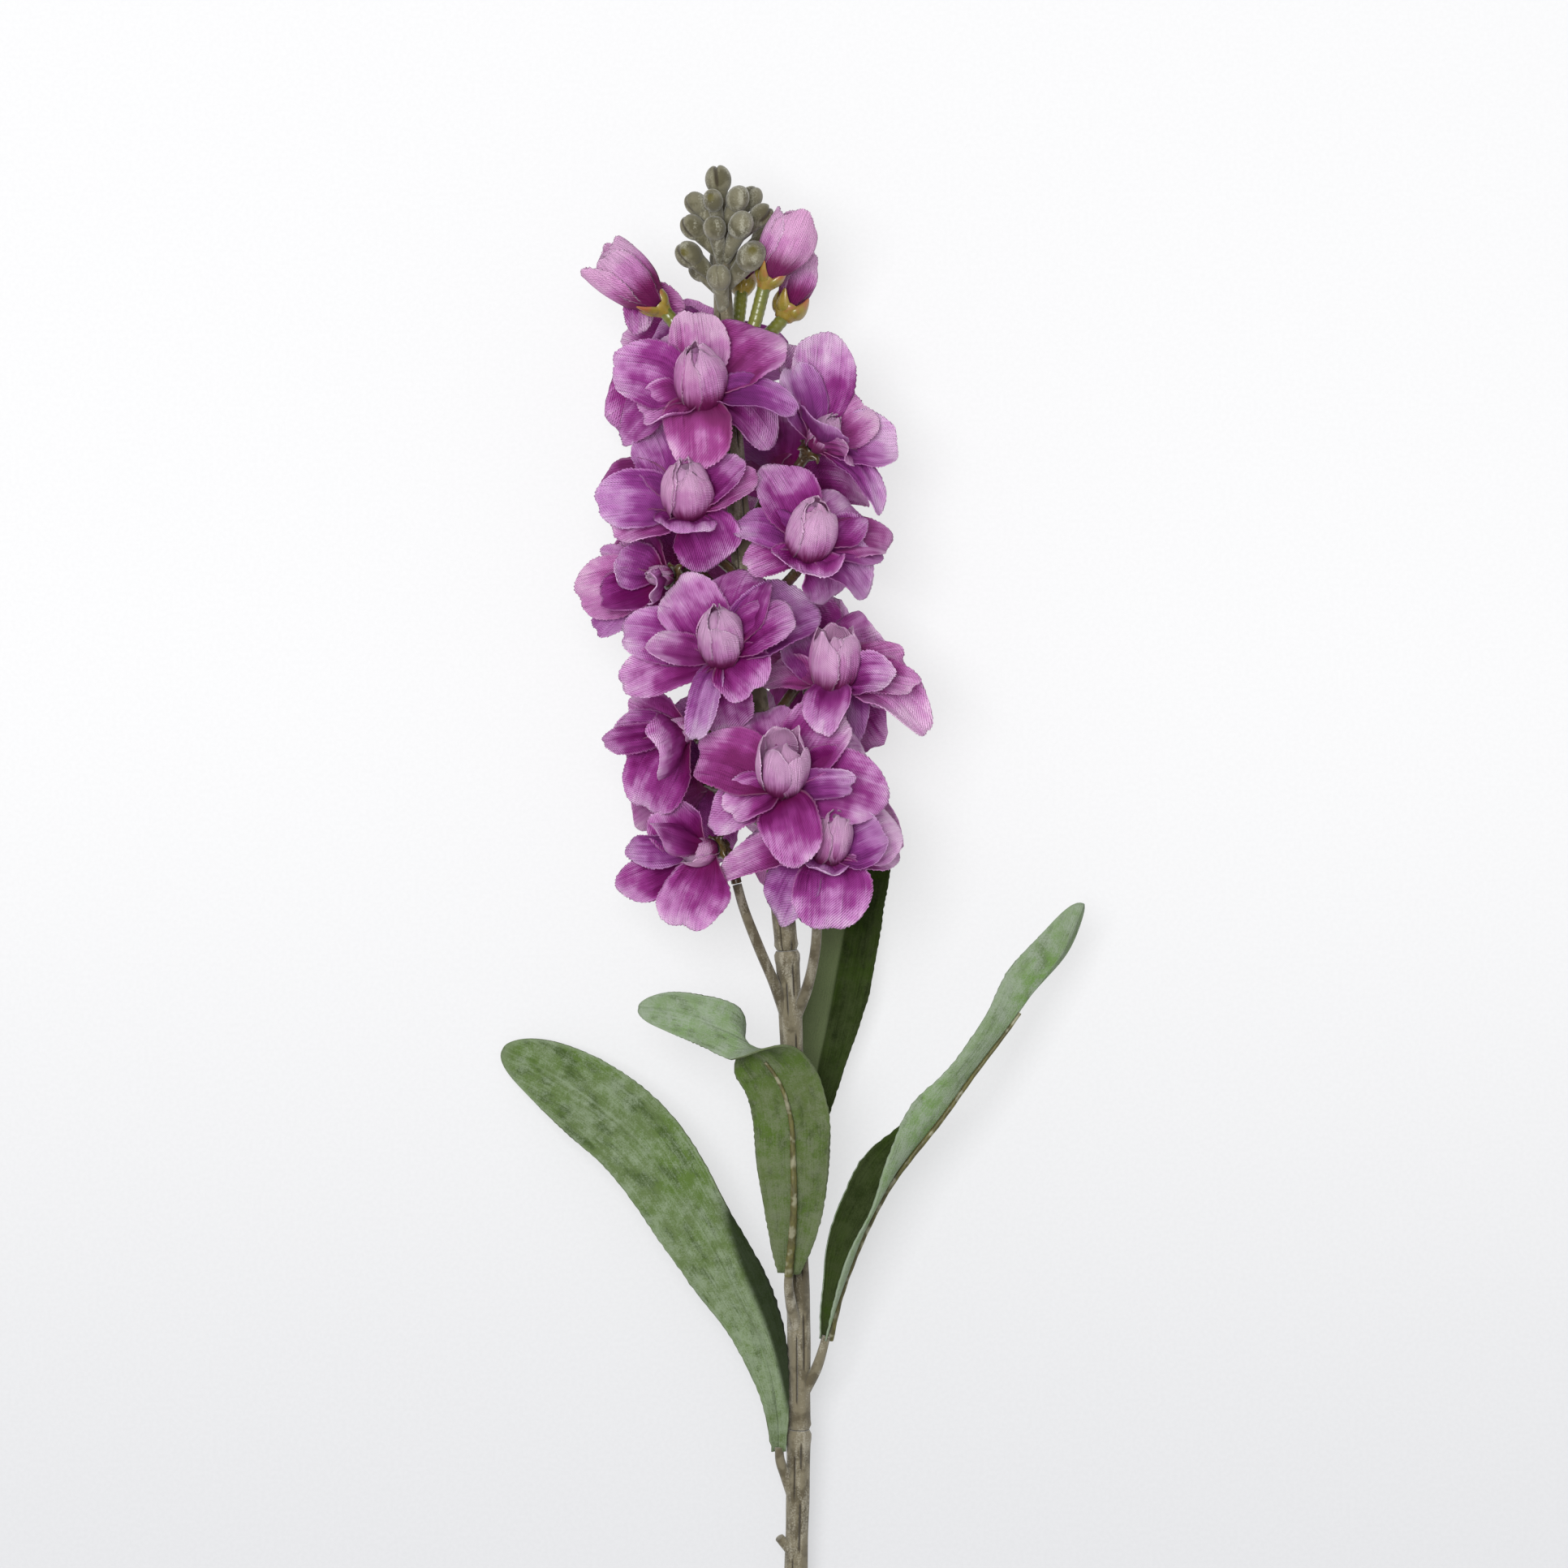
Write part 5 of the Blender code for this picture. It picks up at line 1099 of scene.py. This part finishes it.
def leaf_flock(name):
    """Flocked cloth: mottled green with a grey bloom, paler near its foot, with painted shade where it folds
    down and painted light on the back leaf's lit half.
    """
    sage, fresh, dark, bloom, frosted = LEAF_INKS[name]
    leaf = Finish("leaf_" + name)
    along, across, edge, folded = leaf.marks("along", "across", "edge", "folded")
    place = leaf.place()
    blotch = leaf.noise(place, 50.0, 3.0)
    patch = leaf.noise(leaf.vector(along * 9.0, across * 1.6, 0.0), 1.6, 3.0)
    grey = leaf.noise(place, 210.0, 5.0, 0.7)
    fibres = leaf.noise(leaf.vector(along * 7.0, across * 16.0, 1.0), 1.5, 3.0)
    pile = leaf.noise(place, 2600.0)
    bloomed = grey * 0.7 + fibres * 0.3 + (pile - 0.5) * 0.3 + frosted + leaf.ramp(along, 0.55, 0.2) * 0.07
    # Its last two layers are painted shade on a folded-down side and painted light on the back leaf's lit
    # half.
    colour = leaf.layered(
        sage, (fresh, blotch + (fibres - 0.5) * 0.35, 0.4, 0.64, 1.0),
        (dark, patch + (grey - 0.5) * 0.3, 0.5, 0.64, 0.75), (bloom, bloomed, 0.4, 0.68, 0.8),
        (bloom, leaf.maths("ABSOLUTE", across), 0.05, 0.0, 0.25), (bloom, edge, 0.9, 0.1, 0.35),
        (FOLD_SHADE, folded, 0.02, 0.3, 0.9), (PAINTED_LIT_HALF, folded, -0.1, -0.8, 0.7))
    fuzz = leaf.bump(pile * 0.7 + grey * 0.9 + fibres * 0.8, 0.3)
    body = leaf.coated(colour, 0.85, fuzz, sheen=0.04, sheen_rough=0.5, specular=0.08)
    return leaf.end(leaf.lit_through(body, LEAF_LIGHT, 0.08))


def stem_flock(name):
    """Flocked plastic: taupe and brown under a streaky frost, dark with painted shade in the slots, bud
    clefts and branchlets, olive on some buds.
    """
    taupe, brown, frost = STEM_INKS[name]
    stem = Finish(name)
    slot, eye = stem.marks("slot", "eye")
    place = stem.place()
    streak = stem.noise(stem.stretched(place, 1.0, 0.16, 1.0), 420.0, 3.0)
    mottle = stem.noise(place, 180.0, 3.0)
    pile = stem.noise(place, 2400.0)
    colour = stem.layered(
        taupe, (brown, mottle, 0.44, 0.6, 1.0), (frost, streak + (pile - 0.5) * 0.5, 0.5, 0.72, 0.75),
        # Painted shade in the slots and bud clefts and, more lightly, over the branchlets.
        (SLOT_SHADE, slot, 0.15, 0.7, 0.85))
    colour = stem.mix(eye, colour, BUD_SPOT)
    fuzz = stem.bump(pile * 0.8 + streak * 0.6, 0.2)
    return stem.end(stem.coated(colour, 0.9 - eye * 0.5, fuzz, sheen=0.3, sheen_rough=0.5, specular=0.2))


def calyx_gloss():
    """Moulded plastic: yellow-green with a red-brown blush on half-open blooms, and on the others a darker
    olive-brown copy that paints the shade they lie in.
    """
    gloss = Finish("calyx_gloss")
    blush, cup, shade = gloss.marks("blush", "cup", "shade")
    place = gloss.place()
    cloud = gloss.noise(place, 170.0)
    grain = gloss.noise(place, 900.0)
    green = gloss.layered(
        gloss.mix(cup, STALK_GREEN, CUP_OCHRE), (CLOUDING, cloud, 0.4, 0.6, 0.6),
        (BLUSH, blush + (cloud - 0.5) * 2.2, 0.45, 1.0, 0.75))
    # brown is the painted shade of the calyces under open petals.
    brown = gloss.layered(SHADED_CALYX_BROWN, (SHADED_CALYX_OLIVE, cloud, 0.42, 0.6, 1.0))
    colour = gloss.mix(shade, green, brown)
    rough = gloss.ramp(grain, 0.3, 0.7, 0.26, 0.4)
    body = gloss.coated(colour, rough, gloss.bump(grain, 0.08), specular=0.5, coat=0.35, coat_rough=0.15)
    return gloss.end(body)


def rib_wrap():
    """Brown wrapping with grey smears of glue."""
    wrap = Finish("rib_wrap")
    place = wrap.place()
    streak = wrap.noise(wrap.stretched(place, 1.0, 0.3, 1.0), 700.0, 3.0)
    glue = wrap.noise(place, 260.0)
    colour = wrap.layered(WRAP_DARK, (WRAP_LIGHT, streak, 0.35, 0.7, 1.0), (GLUE, glue, 0.52, 0.66, 0.6))
    return wrap.end(wrap.coated(colour, wrap.ramp(glue, 0.4, 0.7, 0.6, 0.35), wrap.bump(streak, 0.25)))


def paper():
    """The pale surface, glowing with painted light that is a little brighter towards the tip of the stem."""
    floor = Finish("pale_paper")
    place = floor.place()
    grain = floor.noise(place, 900.0)
    colour = floor.layered(PAPER_DARK, (PAPER_LIGHT, grain, 0.3, 0.7, 1.0))
    down = floor.field(1, "ShaderNodeSeparateXYZ", (), {0: place})
    # The glow is painted light that washes out the shadows on the surface, brighter towards the tip of the
    # stem.
    lit = floor.layered(ink(255, 255, 255), (ink(224, 225, 227), down, 0.12, -0.2, 1.0))
    return floor.end(floor.coated(colour, 0.9, floor.bump(grain, 0.02), specular=0.1, glow=0.69, lit=lit))


# ---- making it

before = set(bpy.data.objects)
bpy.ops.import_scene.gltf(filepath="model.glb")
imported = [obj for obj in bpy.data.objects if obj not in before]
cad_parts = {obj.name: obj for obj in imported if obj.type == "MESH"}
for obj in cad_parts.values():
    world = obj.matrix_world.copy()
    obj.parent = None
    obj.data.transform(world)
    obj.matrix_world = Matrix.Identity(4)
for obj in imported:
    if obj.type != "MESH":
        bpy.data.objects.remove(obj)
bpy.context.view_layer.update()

cloth = petal_cloth()
leaf_finishes = {name: leaf_flock(name) for name in LEAF_INKS}
stem_finishes = [stem_flock(name) for name in STEM_INKS]
gloss, wrap = calyx_gloss(), rib_wrap()

for name in BLOOMS:
    make_bloom(name, cloth)
    make_calyx(name, gloss)
for name in LEAVES:
    make_leaf(name, [leaf_finishes[side] for side in LEAF_SIDES[name]])
    make_rib(name, wrap)
ENDS = [STEM_PATH[0][1], *JOINTS, STEM_PATH[-1][1]]
for part, top, bottom in zip(STALKS_OF, ENDS, ENDS[1:]):
    make_stem(part, top, bottom, stem_finishes)

# ---- the pale surface, the light and the camera

SURFACE_HALF = 6.0
CAMERA_HEIGHT, HEAD_HEIGHT, SENSOR = 2.5, 0.04, 36.0
SEEN = 2 * MIDDLE * STEP * METRES
KEY_PLACE, KEY_AIM, KEY_SIZE, KEY_POWER = Vector((-0.4, 0.3, 2.15)), Vector((0, 0.05, 0)), 1.0, 46.0
WORLD_STRENGTH = 0.54


def staged(name, data):
    obj = bpy.data.objects.new(name, data)
    bpy.context.scene.collection.objects.link(obj)
    return obj


bm = bmesh.new()
bmesh.ops.create_grid(bm, x_segments=1, y_segments=1, size=SURFACE_HALF)
mesh = bpy.data.meshes.new("pale_surface")
bm.to_mesh(mesh)
bm.free()
mesh.materials.append(paper())
staged("pale_surface", mesh)

light = bpy.data.lights.new("soft_key", "AREA")
light.shape = "SQUARE"
light.size = KEY_SIZE
light.energy = KEY_POWER
key = staged("soft_key", light)
key.location = KEY_PLACE
key.rotation_euler = (KEY_AIM - KEY_PLACE).to_track_quat("-Z", "Y").to_euler()

world = bpy.data.worlds.new("studio")
bpy.context.scene.world = world
world.use_nodes = True
world.node_tree.nodes["Background"].inputs["Color"].default_value = (1.0, 1.0, 1.0, 1.0)
world.node_tree.nodes["Background"].inputs["Strength"].default_value = WORLD_STRENGTH

lens = bpy.data.cameras.new("camera")
lens.sensor_width = SENSOR
lens.lens = SENSOR * (CAMERA_HEIGHT - HEAD_HEIGHT) / SEEN
camera = staged("camera", lens)
middle_x, middle_y, _ = placed((0.0, 0.0, 0.0))
camera.location = (middle_x, middle_y, CAMERA_HEIGHT)
bpy.context.scene.camera = camera
bpy.context.scene.view_settings.view_transform = "Standard"
